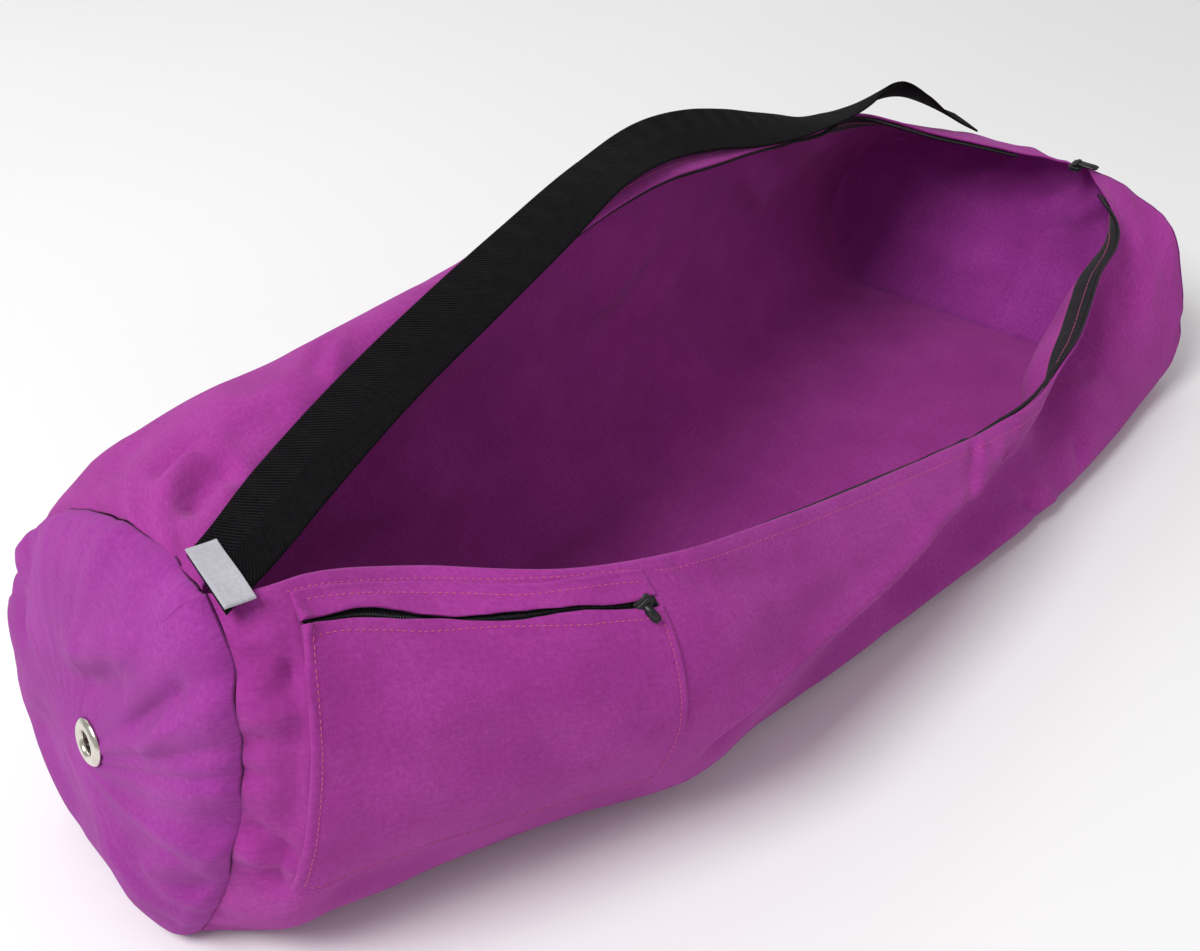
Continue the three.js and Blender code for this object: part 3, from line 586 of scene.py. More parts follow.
def woven(name, base, dark, light, pitch, rough=0.9, sheen=0.35, slub=0.5, bump=0.35, tint=(1, 0.85, 1, 1)):
    """plain weave from the cloth's own coordinates (metres in the UV map), with slubs and soft fading"""
    m, nt, bsdf = new_material(name)
    uv = node(nt, "ShaderNodeUVMap", uv_map="UVMap")
    sep = nt.nodes.new("ShaderNodeSeparateXYZ")
    nt.links.new(uv.outputs[0], sep.inputs[0])
    wob = node(nt, "ShaderNodeTexNoise", noise_dimensions="2D", in_Scale=900.0, in_Detail=1.0)
    nt.links.new(uv.outputs[0], wob.inputs["Vector"])
    w = math_node(nt, "MULTIPLY", math_node(nt, "SUBTRACT", wob.outputs["Fac"], 0.5), 1.6)
    a = math_node(nt, "SINE", math_node(nt, "ADD", math_node(nt, "MULTIPLY", sep.outputs[0], 2 * math.pi / pitch), w))
    b = math_node(nt, "SINE", math_node(nt, "ADD", math_node(nt, "MULTIPLY", sep.outputs[1], 2 * math.pi / pitch), w))
    weave = math_node(nt, "MULTIPLY", a, b)
    threads = math_node(nt, "ADD", math_node(nt, "MULTIPLY", weave, 0.5), 0.5)
    # thick and thin threads, long one way and then the other
    def streak(sx, sy, seed):
        mp = node(nt, "ShaderNodeMapping")
        mp.inputs["Scale"].default_value = (sx, sy, 1)
        mp.inputs["Location"].default_value = (seed, seed * 0.7, 0)
        nt.links.new(uv.outputs[0], mp.inputs[0])
        n = node(nt, "ShaderNodeTexNoise", noise_dimensions="2D", in_Scale=1.0, in_Detail=2.0, in_Roughness=0.6)
        nt.links.new(mp.outputs[0], n.inputs["Vector"])
        return n.outputs["Fac"]
    s1, s2 = streak(60, 1100, 3.1), streak(1100, 60, 8.7)
    slubs = math_node(nt, "ADD", math_node(nt, "MULTIPLY", math_node(nt, "SUBTRACT", s1, 0.5), slub), math_node(nt, "MULTIPLY", math_node(nt, "SUBTRACT", s2, 0.5), slub))
    broad = node(nt, "ShaderNodeTexNoise", noise_dimensions="2D", in_Scale=22.0, in_Detail=3.0, in_Roughness=0.55)
    nt.links.new(uv.outputs[0], broad.inputs["Vector"])
    fleck = node(nt, "ShaderNodeTexNoise", noise_dimensions="2D", in_Scale=420.0, in_Detail=2.0, in_Roughness=0.7)
    nt.links.new(uv.outputs[0], fleck.inputs["Vector"])
    tone = math_node(nt, "ADD", 0.5, math_node(nt, "ADD", math_node(nt, "ADD", slubs, math_node(nt, "MULTIPLY", weave, 0.10)),
                     math_node(nt, "ADD", math_node(nt, "MULTIPLY", math_node(nt, "SUBTRACT", broad.outputs["Fac"], 0.5), 0.5),
                               math_node(nt, "MULTIPLY", math_node(nt, "SUBTRACT", fleck.outputs["Fac"], 0.5), 0.55))), clamp=True)
    col = ramp(nt, tone, [(0.12, dark), (0.5, base), (0.88, light)])
    nt.links.new(col, bsdf.inputs["Base Color"])
    rr = math_node(nt, "ADD", rough - 0.05, math_node(nt, "MULTIPLY", fleck.outputs["Fac"], 0.1))
    nt.links.new(rr, bsdf.inputs["Roughness"])
    bsdf.inputs["Sheen Weight"].default_value = sheen
    bsdf.inputs["Sheen Roughness"].default_value = 0.5
    bsdf.inputs["Sheen Tint"].default_value = tint
    bsdf.inputs["Specular IOR Level"].default_value = 0.12
    h = math_node(nt, "ADD", threads, math_node(nt, "ADD", math_node(nt, "MULTIPLY", slubs, 2.0), math_node(nt, "MULTIPLY", fleck.outputs["Fac"], 0.8)))
    bp = node(nt, "ShaderNodeBump", in_Strength=bump, in_Distance=0.0005)
    nt.links.new(h, bp.inputs["Height"])
    nt.links.new(bp.outputs[0], bsdf.inputs["Normal"])
    return m


def twill(name, base, light, pitch=0.0022, bump=0.8, rough=0.75):
    """webbing: steep diagonal ribs that turn at the middle, over fine cross threads"""
    m, nt, bsdf = new_material(name)
    uv = node(nt, "ShaderNodeUVMap", uv_map="UVMap")
    sep = nt.nodes.new("ShaderNodeSeparateXYZ")
    nt.links.new(uv.outputs[0], sep.inputs[0])
    u, v = sep.outputs[0], sep.outputs[1]
    n1 = node(nt, "ShaderNodeTexNoise", noise_dimensions="2D", in_Scale=300.0, in_Detail=2.0)
    nt.links.new(uv.outputs[0], n1.inputs["Vector"])
    wob = math_node(nt, "MULTIPLY", math_node(nt, "SUBTRACT", n1.outputs["Fac"], 0.5), 1.2)
    k = 2 * math.pi / pitch
    d1 = math_node(nt, "SINE", math_node(nt, "ADD", math_node(nt, "ADD", math_node(nt, "MULTIPLY", u, k), math_node(nt, "MULTIPLY", math_node(nt, "ABSOLUTE", v), k * 0.8)), wob))
    d2 = math_node(nt, "SINE", math_node(nt, "MULTIPLY", v, k * 1.6))
    d3 = math_node(nt, "SINE", math_node(nt, "MULTIPLY", u, k * 1.9))
    rib = math_node(nt, "ADD", math_node(nt, "MULTIPLY", d1, 0.55), math_node(nt, "MULTIPLY", math_node(nt, "MULTIPLY", d2, d3), 0.45))
    tone = math_node(nt, "ADD", 0.5, math_node(nt, "ADD", math_node(nt, "MULTIPLY", rib, 0.3), math_node(nt, "MULTIPLY", math_node(nt, "SUBTRACT", n1.outputs["Fac"], 0.5), 0.7)), clamp=True)
    nt.links.new(ramp(nt, tone, [(0.15, base), (0.9, light)]), bsdf.inputs["Base Color"])
    nt.links.new(math_node(nt, "ADD", rough - 0.06, math_node(nt, "MULTIPLY", n1.outputs["Fac"], 0.12)), bsdf.inputs["Roughness"])
    bsdf.inputs["Sheen Weight"].default_value = 0.02
    bsdf.inputs["Sheen Roughness"].default_value = 0.4
    bsdf.inputs["Specular IOR Level"].default_value = 0.06
    bp = node(nt, "ShaderNodeBump", in_Strength=bump, in_Distance=0.0006)
    nt.links.new(rib, bp.inputs["Height"])
    nt.links.new(bp.outputs[0], bsdf.inputs["Normal"])
    return m


def speckled(name, base, light, rough, metal=0.0, scale=260.0, bump=0.15, distance=0.0002, spread=1.0):
    """thread, plastic or metal: colour and roughness broken up by noise in the row frame"""
    m, nt, bsdf = new_material(name)
    tc = nt.nodes.new("ShaderNodeTexCoord")
    n = node(nt, "ShaderNodeTexNoise", in_Scale=scale, in_Detail=4.0, in_Roughness=0.6)
    nt.links.new(tc.outputs["Object"], n.inputs["Vector"])
    nt.links.new(ramp(nt, n.outputs["Fac"], [(0.5 - 0.25 * spread, base), (0.5 + 0.25 * spread, light)]), bsdf.inputs["Base Color"])
    nt.links.new(math_node(nt, "ADD", rough - 0.08, math_node(nt, "MULTIPLY", n.outputs["Fac"], 0.16)), bsdf.inputs["Roughness"])
    bsdf.inputs["Metallic"].default_value = metal
    bp = node(nt, "ShaderNodeBump", in_Strength=bump, in_Distance=distance)
    nt.links.new(n.outputs["Fac"], bp.inputs["Height"])
    nt.links.new(bp.outputs[0], bsdf.inputs["Normal"])
    return m


CANVAS = woven("orchid_canvas", linear(157, 53, 143), linear(139, 41, 125), linear(175, 71, 161), 0.00095, sheen=0.08, slub=0.22)
# the end panels: the same orchid canvas painted a little darker and bluer, as painted shade on the end panels
SHADED_PANEL = woven("orchid_canvas_end_painted_shade", linear(150, 53, 145), linear(132, 42, 127), linear(168, 71, 163), 0.00095, sheen=0.08, slub=0.22)
TAPE = woven("black_zip_tape", linear(22, 20, 24), linear(12, 11, 14), linear(38, 36, 40), 0.0012, rough=0.8, sheen=0.1, slub=0.3, bump=0.5, tint=(1, 1, 1, 1))
LABEL = woven("white_label_satin", linear(172, 171, 179), linear(158, 157, 166), linear(186, 185, 192), 0.0006, rough=0.6, sheen=0.15, slub=0.35, bump=0.2, tint=(1, 1, 1, 1))
WEBBING = twill("black_webbing", linear(3, 2, 3), linear(22, 19, 23), rough=.9)
THREAD = speckled("pink_thread", linear(182, 68, 120), linear(202, 94, 138), 0.7, scale=900.0, bump=0.3)
BLACK_THREAD = speckled("black_thread", linear(14, 13, 15), linear(30, 28, 32), 0.7, scale=900.0, bump=0.3)
COIL = speckled("black_coil", linear(12, 12, 14), linear(30, 30, 34), 0.42, scale=700.0)
ENAMEL = speckled("black_enamel", linear(14, 14, 16), linear(34, 33, 36), 0.38, metal=0.2, scale=500.0)
NICKEL = speckled("satin_nickel", linear(196, 190, 178), linear(226, 222, 212), 0.24, metal=1.0, scale=340.0, bump=0.12, spread=1.4)


# ---- bag shell -------------------------------------------------------------------
def cloth_uv(x0, arc):
    return np.stack([np.asarray(x0, float).ravel() / 1000.0, np.asarray(arc, float).ravel() / 1000.0], 1)


verts, faces = shell(P, INNER)
uv = cloth_uv(X0, ARC)
bag = make("bag_shell", to_row(verts), outward(verts, faces), np.concatenate([uv, uv]))
finish_piece(bag, CANVAS, ["main_panel"])


# ---- round end panels ---------------------------------------------------------------
def dome_grid(i, stations, spec, sign, rings):
    """ring by ring points of an end panel, outer face, shrinking to its middle"""
    ring = P[i].copy()
    r = row_at(stations)
    n = np.array([1, -r["yaw"], -r["lean"]], float)
    n = n / np.linalg.norm(n) * sign
    if sign < 0:
        n[2] += 0.03
    n /= np.linalg.norm(n)
    base = P0[i]
    lo, hi = base.min(0), base.max(0)
    c = (lo + hi) / 2 + np.array([0, 0, spec["up"]])
    c[0] = stations + r["lean"] * c[2] + r["yaw"] * c[1]
    out = []
    for k in rings:
        q = c + (ring - c) * k
        h = GAP + 0.8 * WALL + spec["rise"] * max(0.0, 1 - k ** spec["p"]) ** spec["q"]
        q = q + n * h
        out.append(q)
    g = np.array(out)
    return g, n, c


def close_ring(g, steps):
    """adds points across the ring's open side (the mouth), so the ring closes evenly"""
    t = np.arange(1, steps)[:, None] / steps
    gap = np.stack([row[-1] * (1 - t) + row[0] * t for row in g])
    return np.concatenate([g, gap], 1)


def end_panel(name, i, station, spec, sign, folds, seed, noise, bore=None):
    rings = np.concatenate([[1, .996, .990, .982, .972, .96, .945], np.linspace(.925, .05, 58)])
    g, n, c = dome_grid(i, station, spec, sign, rings)
    g = close_ring(g, 10)
    A, B = g[..., 1], g[..., 2]
    k = np.repeat(rings[:, None], g.shape[1], 1)
    amount = fold_field(A, B, folds, 1.7)
    amount += noise * value_noise(A, B, 44, seed) + 0.5 * noise * value_noise(A, B, 21, seed + 1)
    # gathers that start at the seam and die out towards the middle
    s = np.concatenate([[0], np.cumsum(np.linalg.norm(g[0, 1:] - g[0, :-1], axis=1))])
    S = np.repeat(s[None], len(rings), 0)
    amount += 1.1 * np.exp(-((1 - k) / .10) ** 2) * value_noise(S, S * 0, 15, seed + 2)
    # seam: the panel dives under the rim, then swells over its turnings
    amount += 0.9 * np.exp(-((1 - k) - .035) ** 2 / .022 ** 2)
    keep = smoothstep(2, 18, g[..., 2]) * smoothstep(0.0, .12, k)
    g = g + n * (amount * keep)[..., None]
    g[..., 2] = np.maximum(g[..., 2], 0)
    mid = g[-1].mean(0) + n * 0.05
    inner = g - n * WALL
    inner[..., 2] = np.maximum(inner[..., 2], WALL)
    nr, nv = g.shape[:2]
    verts = np.concatenate([g.reshape(-1, 3), inner.reshape(-1, 3), [mid, mid - n * WALL]])
    o = lambda a, b: a * nv + b % nv
    q = lambda a, b: nr * nv + a * nv + b % nv
    faces = []
    for b in range(nv):
        for a in range(nr - 1):
            faces.append((o(a, b), o(a, b + 1), o(a + 1, b + 1), o(a + 1, b)))
            faces.append((q(a, b), q(a + 1, b), q(a + 1, b + 1), q(a, b + 1)))
        faces.append((o(nr - 1, b), o(nr - 1, b + 1), 2 * nr * nv))
        faces.append((q(nr - 1, b + 1), q(nr - 1, b), 2 * nr * nv + 1))
        faces.append((o(0, b + 1), o(0, b), q(0, b), q(0, b + 1)))
    if bore is not None:
        # open the cloth inside the eyelet
        cy, cz, rad = bore
        hole = np.hypot(verts[:, 1] - cy, verts[:, 2] - cz) < rad
        faces = [f for f in faces if not all(hole[i] for i in f)]
    faces = outward(verts, faces)
    uvs = np.stack([verts[:, 1], verts[:, 2]], 1) / 1000.0
    ob = make(name, to_row(verts), faces, uvs)
    return ob, g, n


near_ob, NEAR_G, NEAR_N = end_panel("near_panel", 0, -395, NEAR_DOME, -1, NEAR_FOLDS, 21, 1.1, bore=(46.5, 110.0, 8.8))
finish_piece(near_ob, SHADED_PANEL, ["near_end_panel"])
far_ob, FAR_G, FAR_N = end_panel("far_panel", NU - 1, 375, FAR_DOME, 1, FAR_FOLDS, 31, 1.4)
finish_piece(far_ob, SHADED_PANEL, ["far_end_panel"])


def on_near(y, z):
    """point of the near panel's outer face over (y, z)"""
    d = (NEAR_G[..., 1] - y) ** 2 + (NEAR_G[..., 2] - z) ** 2
    idx = np.argsort(d.ravel())[:12]
    w = 1 / (d.ravel()[idx] + .5)
    p = (NEAR_G.reshape(-1, 3)[idx] * w[:, None]).sum(0) / w.sum()
    return np.array([p[0], y, z])


# ---- eyelet -----------------------------------------------------------------------
GROMMET = dict(y=46.5, z=110.0, outer=12.0, bore=5.6)
gc = on_near(GROMMET["y"], GROMMET["z"])
e = 11.0
gy = on_near(GROMMET["y"] + e, GROMMET["z"]) - on_near(GROMMET["y"] - e, GROMMET["z"])
gz = on_near(GROMMET["y"], GROMMET["z"] + e) - on_near(GROMMET["y"], GROMMET["z"] - e)
gn = np.cross(gy, gz)
gn /= np.linalg.norm(gn)
if gn[0] > 0:
    gn = -gn
gu = np.cross([0, 0, 1.0], gn)
gu /= np.linalg.norm(gu)
gv = np.cross(gn, gu)


def revolve(profile, c, n, u, v, sides=72):
    """closed profile of (radius, height) turned about an axis"""
    ang = 2 * np.pi * np.arange(sides) / sides
    ring = np.cos(ang)[:, None] * u + np.sin(ang)[:, None] * v
    m = len(profile)
    verts = np.array([c + r * d + h * n for d in ring for r, h in profile])
    faces = []
    for i in range(sides):
        for j in range(m):
            a, b = i * m + j, i * m + (j + 1) % m
            k = ((i + 1) % sides) * m
            faces.append((a, b, k + (j + 1) % m, k + j))
    return verts, outward(verts, faces)


profile = [(5.6, -4.2), (5.7, .5), (5.9, 1.3), (6.4, 2.0), (7.2, 2.45), (8.2, 2.6), (9.3, 2.45), (10.3, 2.05), (11.1, 1.5), (11.7, .85), (12.0, .2), (11.9, -.25), (11.4, -.4),
           (7.2, -.4), (6.4, -.4), (6.4, -3.3), (10.3, -3.3), (10.7, -3.8), (10.3, -4.5), (6.4, -4.7)]
verts, faces = revolve(profile, gc + gn * 0.35, gn, gu, gv)
eyelet = make("eyelet", to_row(verts), faces)
finish_piece(eyelet, NICKEL, ["grommet"])


# ---- zip tapes and coils --------------------------------------------------------------
TAPE_X = np.concatenate([np.linspace(-381, 320, 200), np.linspace(324, 356, 10)])


def turn_room(x, side):
    return 1.0 * np.clip((np.asarray(x) - (320 if side == "front" else 200)) / 15, 0, 1)


def tape(name, side):
    arcs = np.array([0.4, 1.6, 3.4, 5.4, 7.4, 8.6, 10, 12, 14, 15.4, 16])
    rng_side = 5 if side == "front" else 9
    X, A = np.meshgrid(TAPE_X, arcs, indexing="ij")
    puck = 0.25 * value_noise(X, A * 0, 9, rng_side) * smoothstep(6, 14, A)
    room = turn_room(X, side)
    top = on_cloth(X, A, -(WALL + 0.15 + room) - np.abs(puck), side)
    low = on_cloth(X, A, -(WALL + 0.95 + room) - np.abs(puck), side)
    verts, faces = shell(top, low)
    uv = cloth_uv(X, A)
    ob = make(name, to_row(verts), outward(verts, faces), np.concatenate([uv, uv]))
    finish_piece(ob, TAPE, ["zip_tape_" + side])


tape("tape_front", "front")
tape("tape_back", "back")


def edge_frame(side, depth):
    """for each station: point on the slit's edge, the way up past it, the way out"""
    a = on_cloth(TAPE_X, 0.05, 0.0, side)
    b = on_cloth(TAPE_X, 3.2, 0.0, side)
    up = a - b
    up /= np.linalg.norm(up, axis=1, keepdims=True)
    o = on_cloth(TAPE_X, 0.8, 1.0, side) - on_cloth(TAPE_X, 0.8, 0.0, side)
    o /= np.linalg.norm(o, axis=1, keepdims=True)
    c = a - o * depth
    return c, up, o


def coil(name, side, node):
    """one continuous wire wound along the edge: flattened turns, each with its tooth head outwards"""
    c, up, o = edge_frame(side, 0)
    lift = np.interp(TAPE_X, [-381, -160, -20, 356], [-1.1, -0.6, 1.5, 1.7])
    if side == "back":
        lift = np.full(len(TAPE_X), -0.4)
    line = c + up * lift[:, None] - o * (WALL + 1.5 + turn_room(TAPE_X, side))[:, None]
    s = np.concatenate([[0], np.cumsum(np.linalg.norm(line[1:] - line[:-1], axis=1))])
    turns = int(s[-1] / 1.5)
    per = 10
    t = np.linspace(0, 1, turns * per + 1)
    at = t * s[-1]
    base = np.stack([np.interp(at, s, line[:, k]) for k in range(3)], 1)
    U = np.stack([np.interp(at, s, up[:, k]) for k in range(3)], 1)
    O = np.stack([np.interp(at, s, o[:, k]) for k in range(3)], 1)
    ang = 2 * np.pi * turns * t
    path = base + U * (1.15 * np.sin(ang))[:, None] + O * (0.72 * np.cos(ang))[:, None]
    verts, faces = tube(path, 0.36, 5, up=frames_along(base))
    # the cord inside the turns keeps daylight out
    core, cf = tube(base[::6], 0.62, 6, up=U[::6])
    v, f = joined([(verts, faces), (core, cf)])
    ob = make(name, to_row(v), f)
    finish_piece(ob, COIL, [node])


coil("coil_front", "front", "zip_teeth_front")
coil("coil_back", "back", "zip_teeth_back")


# ---- outside pocket ---------------------------------------------------------------------
# edges as tables of (station, distance from the slit's edge), in mm
SLIT = np.array([(-380, 18), (-365, 19.5), (-350, 21), (-335, 22), (-317, 26), (-305, 29), (-293, 30), (-281, 28.5), (-269, 26), (-255, 22.5), (-242, 20.5), (-228, 21.5), (-215, 22), (-200, 22)], float)
SLIT_OPEN = np.array([(-380, .6), (-366, 2.0), (-347, 5.4), (-321, 8.2), (-298, 3.6), (-274, 7.2), (-250, 5.2), (-225, 6.0), (-213, 6.2), (-200, 4.0)], float)
STRIP_TOP = np.array([(-380, 8), (-359, 9), (-320, 11.5), (-293, 13), (-263, 11.5), (-227, 7.5), (-200, 8.5)], float)
LEFT_EDGE = np.array([(0, -362), (18, -365), (42, -371), (82, -374), (120, -376), (150, -378), (176, -380)], float)
RIGHT_EDGE = np.array([(0, -203), (30, -204), (70, -206), (110, -208), (140, -209)], float)
BOTTOM = np.array([(-382, 160), (-362, 163), (-335, 162), (-300, 156), (-260, 148), (-225, 140), (-206, 137), (-200, 136)], float)


def table_at(t, x):
    """smooth reading of a two-column table"""
    m = slopes(t[:, 0], t[:, 1:])
    x = np.clip(np.asarray(x, float), t[0, 0], t[-1, 0])
    return hermite(t[:, 0], t[:, 1:], m, x.ravel())[:, 0].reshape(x.shape)


def rounded(d, r):
    d = np.clip(d / r, 0, 1)
    return np.sqrt(1 - (1 - d) ** 2)


def edge_spaced(n, length, r=1.4):
    """shares 0..1 with extra lines close to both ends"""
    near_end = np.array([0, .12, .35, .65, 1.0, 1.5, 2.3, 3.3, 4.2, 5.2]) * r / length
    mid = np.linspace(near_end[-1], 1 - near_end[-1], n)[1:-1]
    return np.concatenate([near_end, mid, 1 - near_end[::-1]])


def pocket_patch(us, vs, top, bottom):
    """stations and distances of a patch between the pocket's side edges and two curves"""
    U, W = np.meshgrid(us, vs, indexing="ij")
    A = 20 + 120 * W
    for _ in range(6):
        X = table_at(LEFT_EDGE, A) * (1 - U) + table_at(RIGHT_EDGE, A) * U
        A = top(X) * (1 - W) + bottom(X) * W
    return X, A


POCKET_TOPS = []


def pocket_height(xs, arcs):
    """how far the pocket's cloth stands off the shell at given stations and distances"""
    X, A, H = (np.concatenate([t[k] for t in POCKET_TOPS]) for k in range(3))
    out = []
    for x, a in zip(xs, arcs):
        d = (X - x) ** 2 + (A - a) ** 2
        i = np.argpartition(d, 5)[:5]
        w = 1 / (d[i] + .05)
        out.append((H[i] * w).sum() / w.sum())
    return np.array(out)


def pocket_piece(name, X, A, du, dv, height, seed, lip_low=0.0, lip_high=0.0, slot="canvas", node=None, dips=()):
    """cloth patch standing off the shell by its own thickness, its edges rolled down"""
    h = height * rounded(np.minimum(du, dv), 1.3)
    h = h + 0.30 * np.exp(-((np.minimum(du, dv) - 2.2) / 1.6) ** 2)
    for dist, at in dips:
        h = h - 0.38 * np.exp(-((dist - at) / 1.1) ** 2)
    h = h + (0.28 * value_noise(X, A, 15, seed) + 0.18 * value_noise(X, A, 6, seed + 1)) * smoothstep(0, 2.5, np.minimum(du, dv)) * (height > .8)
    h = h + lip_low + lip_high
    h = np.maximum(h, 0.06)
    POCKET_TOPS.append((X.ravel(), A.ravel(), h.ravel()))
    top = on_cloth(X, A, h)
    low = on_cloth(X, A, -0.25)
    verts, faces = shell(top, low)
    uv = np.stack([X.ravel() / 1000 + 1.3, A.ravel() / 1000 + .7], 1)
    ob = make(name, to_row(verts), outward(verts, faces), np.concatenate([uv, uv]))
    return finish_piece(ob, CANVAS if slot == "canvas" else TAPE, [node])


slit_top = lambda x: table_at(SLIT, x) - table_at(SLIT_OPEN, x) / 2 - 0.4 * np.sin(x / 7.0) * .5
slit_low = lambda x: table_at(SLIT, x) + table_at(SLIT_OPEN, x) / 2 + 0.4 * np.sin(x / 9.0 + 1) * .5
pocket_w = 165.0

us = edge_spaced(92, pocket_w)
vs = edge_spaced(60, 125.0)
X, A = pocket_patch(us, vs, slit_low, lambda x: table_at(BOTTOM, x))
du = np.minimum(us, 1 - us)[:, None] * pocket_w + 0 * A
d_top, d_bot = A - slit_low(X), table_at(BOTTOM, X) - A
lip = 2.6 * np.exp(-(d_top / 4.2) ** 2) * smoothstep(0, 12, X + 372) * smoothstep(0, 12, -204 - X)
pocket_piece("pocket_patch", X, A, du, np.minimum(d_top, d_bot), 1.35, 41, lip_low=lip + 0.9 * np.exp(-(np.minimum(du, 60) / 5.0) ** 2) * (X < -300), node="pocket_panel",
             dips=((du, 4.0), (d_bot, 4.0), (d_top, 7.5)))

vs = edge_spaced(6, 9.0, .5)
X, A = pocket_patch(us, vs, lambda x: table_at(STRIP_TOP, x) - 3.2, slit_top)
d_top, d_low = A - table_at(STRIP_TOP, X) + 3.2, slit_top(X) - A
du = np.minimum(us, 1 - us)[:, None] * pocket_w + 0 * A
lip = 3.2 * np.exp(-(d_low / 3.8) ** 2) * smoothstep(0, 12, X + 372) * smoothstep(0, 12, -204 - X)
pocket_piece("pocket_upper_strip", X, A, du, np.minimum(d_top, d_low), 1.15, 43, lip_low=lip, node="pocket_strip",
             dips=((d_top, 3.0),))

# tape and coil behind the slit
vs = np.linspace(0, 1, 9)
us2 = np.linspace(0.012, 0.988, 110)
X, A = pocket_patch(us2, vs, lambda x: table_at(SLIT, x) - 5.5, lambda x: table_at(SLIT, x) + 5.5)
top, low = on_cloth(X, A, 0.55), on_cloth(X, A, -0.1)
verts, faces = shell(top, low)
uv = cloth_uv(X, A)
tape_ob = make("pocket_tape", to_row(verts), outward(verts, faces), np.concatenate([uv, uv]))
finish_piece(tape_ob, TAPE, ["pocket_zip"])
xs = np.linspace(-362, -209, 200)
line = on_cloth(xs, table_at(SLIT, xs), 0.95)
o = on_cloth(xs, table_at(SLIT, xs), 1.95) - line
s = np.concatenate([[0], np.cumsum(np.linalg.norm(line[1:] - line[:-1], axis=1))])
turns = int(s[-1] / 1.4)
t = np.linspace(0, 1, turns * 9 + 1)
base = np.stack([np.interp(t * s[-1], s, line[:, k]) for k in range(3)], 1)
O = np.stack([np.interp(t * s[-1], s, o[:, k]) for k in range(3)], 1)
U = np.cross(frames_along(base), O)
ang = 2 * np.pi * turns * t
path = base + U * (1.1 * np.sin(ang))[:, None] + O * (0.32 * np.cos(ang))[:, None]
v, f = joined([tube(path, 0.30, 5, up=frames_along(base)), tube(base[::6], 0.4, 6, up=O[::6])])
pc = make("pocket_coil", to_row(v), f)
finish_piece(pc, COIL)


# ---- sliders ------------------------------------------------------------------------------
def rounded_box(l, w, h, r, n=4):
    """box with rounded edges about the origin: verts, faces"""
    pts, idx = [], {}
    ang = np.linspace(0, np.pi / 2, n + 1)
    def corner(sx, sy):
        base = {(1, 1): 0, (-1, 1): np.pi / 2, (-1, -1): np.pi, (1, -1): 1.5 * np.pi}[(sx, sy)]
        return [(sx * (l / 2 - r) + r * np.cos(base + a), sy * (w / 2 - r) + r * np.sin(base + a)) for a in ang]
    outline = np.array(sum([corner(*c) for c in ((1, 1), (-1, 1), (-1, -1), (1, -1))], []))
    m = len(outline)
    e = min(r, h / 2) * .8
    rings = []
    for z, ins in [(-h / 2, e), (-h / 2 + .3 * e, .3 * e), (-h / 2 + e, 0), (h / 2 - e, 0), (h / 2 - .3 * e, .3 * e), (h / 2, e)]:
        k = np.array([(l - 2 * ins) / l, (w - 2 * ins) / w])
        rings.append(np.concatenate([outline * k, np.full((m, 1), z)], 1))
    verts = np.concatenate(rings + [[[0, 0, -h / 2]], [[0, 0, h / 2]]])
    faces = []
    for i in range(len(rings) - 1):
        for j in range(m):
            faces.append((i * m + j, i * m + (j + 1) % m, (i + 1) * m + (j + 1) % m, (i + 1) * m + j))
    a, b = len(rings) * m, len(rings) * m + 1
    for j in range(m):
        faces.append((a, (j + 1) % m, j))
        faces.append((b, (len(rings) - 1) * m + j, (len(rings) - 1) * m + (j + 1) % m))
    return verts, faces


def place(part, c, x, up):
    v, f = part
    z = up / np.linalg.norm(up)
    x = x - (x @ z) * z
    x /= np.linalg.norm(x)
    y = np.cross(z, x)
    return c + v[:, :1] * x + v[:, 1:2] * y + v[:, 2:3] * z, f


def ring_tube(a, b, r, sides=8, n=36, squash=1.0):
    """closed oval wire in the plane of x and z"""
    t = 2 * np.pi * np.arange(n + 1) / n
    p = np.stack([a * np.cos(t), np.zeros(n + 1), b * np.sin(t)], 1)
    return tube(p, r, sides, up=(0, 1, 0), cap=False)


def shifted(part, dx=0, dy=0, dz=0, sx=1, sy=1, sz=1):
    v, f = part
    return v * [sx, sy, sz] + [dx, dy, dz], f


def slider_parts(l, w, pull, pull_w, pull_t):
    """body of two plates with a bridge, and a flat pull hanging from it towards -y"""
    parts = [shifted(rounded_box(l, w, 1.3, 1.8), dz=.65), shifted(rounded_box(l * .96, w * .9, 1.1, 1.6), dz=-1.5),
             shifted(rounded_box(l * .3, w * .35, 2.6, .8), dx=l * .3, dz=-.5),
             shifted(rounded_box(l * .72, w * .3, 1.1, .5), dz=2.7),
             shifted(rounded_box(l * .16, w * .3, 2.2, .4), dx=l * .3, dz=1.9),
             shifted(rounded_box(l * .16, w * .3, 2.2, .4), dx=-l * .3, dz=1.9)]
    t = np.linspace(0, 1, 26)
    outline = [(-pull_w * .32, 0), (-pull_w * .5, -pull * .2), (-pull_w * .5, -pull * .82), (-pull_w * .3, -pull), (pull_w * .3, -pull), (pull_w * .5, -pull * .82), (pull_w * .5, -pull * .2), (pull_w * .32, 0)]
    v = np.array([(x, y, z) for z in (-pull_t / 2, pull_t / 2) for x, y in outline])
    n = len(outline)
    faces = [tuple(range(n)), tuple(range(2 * n - 1, n - 1, -1))]
    faces += [(i, i + n, (i + 1) % n + n, (i + 1) % n) for i in range(n)]
    parts.append((v + [0, -.4, 2.2], outward(v, faces)))
    return parts


def oriented(parts):
    return [(v, outward(v, f)) for v, f in parts]


# main slider at the far end of the slit
e0, e1 = P[-1, 0], P[-1, -1]
mc = (e0 + e1) / 2 + np.array([-9, 0, 3.6])
v, f = joined([place(q, mc, np.array([1, 0, .1]), np.array([-.1, 0, 1.0])) for q in oriented(slider_parts(13, 9, 16, 6.5, 1.2))])
ms = make("main_slider", to_row(v), f)
finish_piece(ms, ENAMEL, ["zip_slider"])

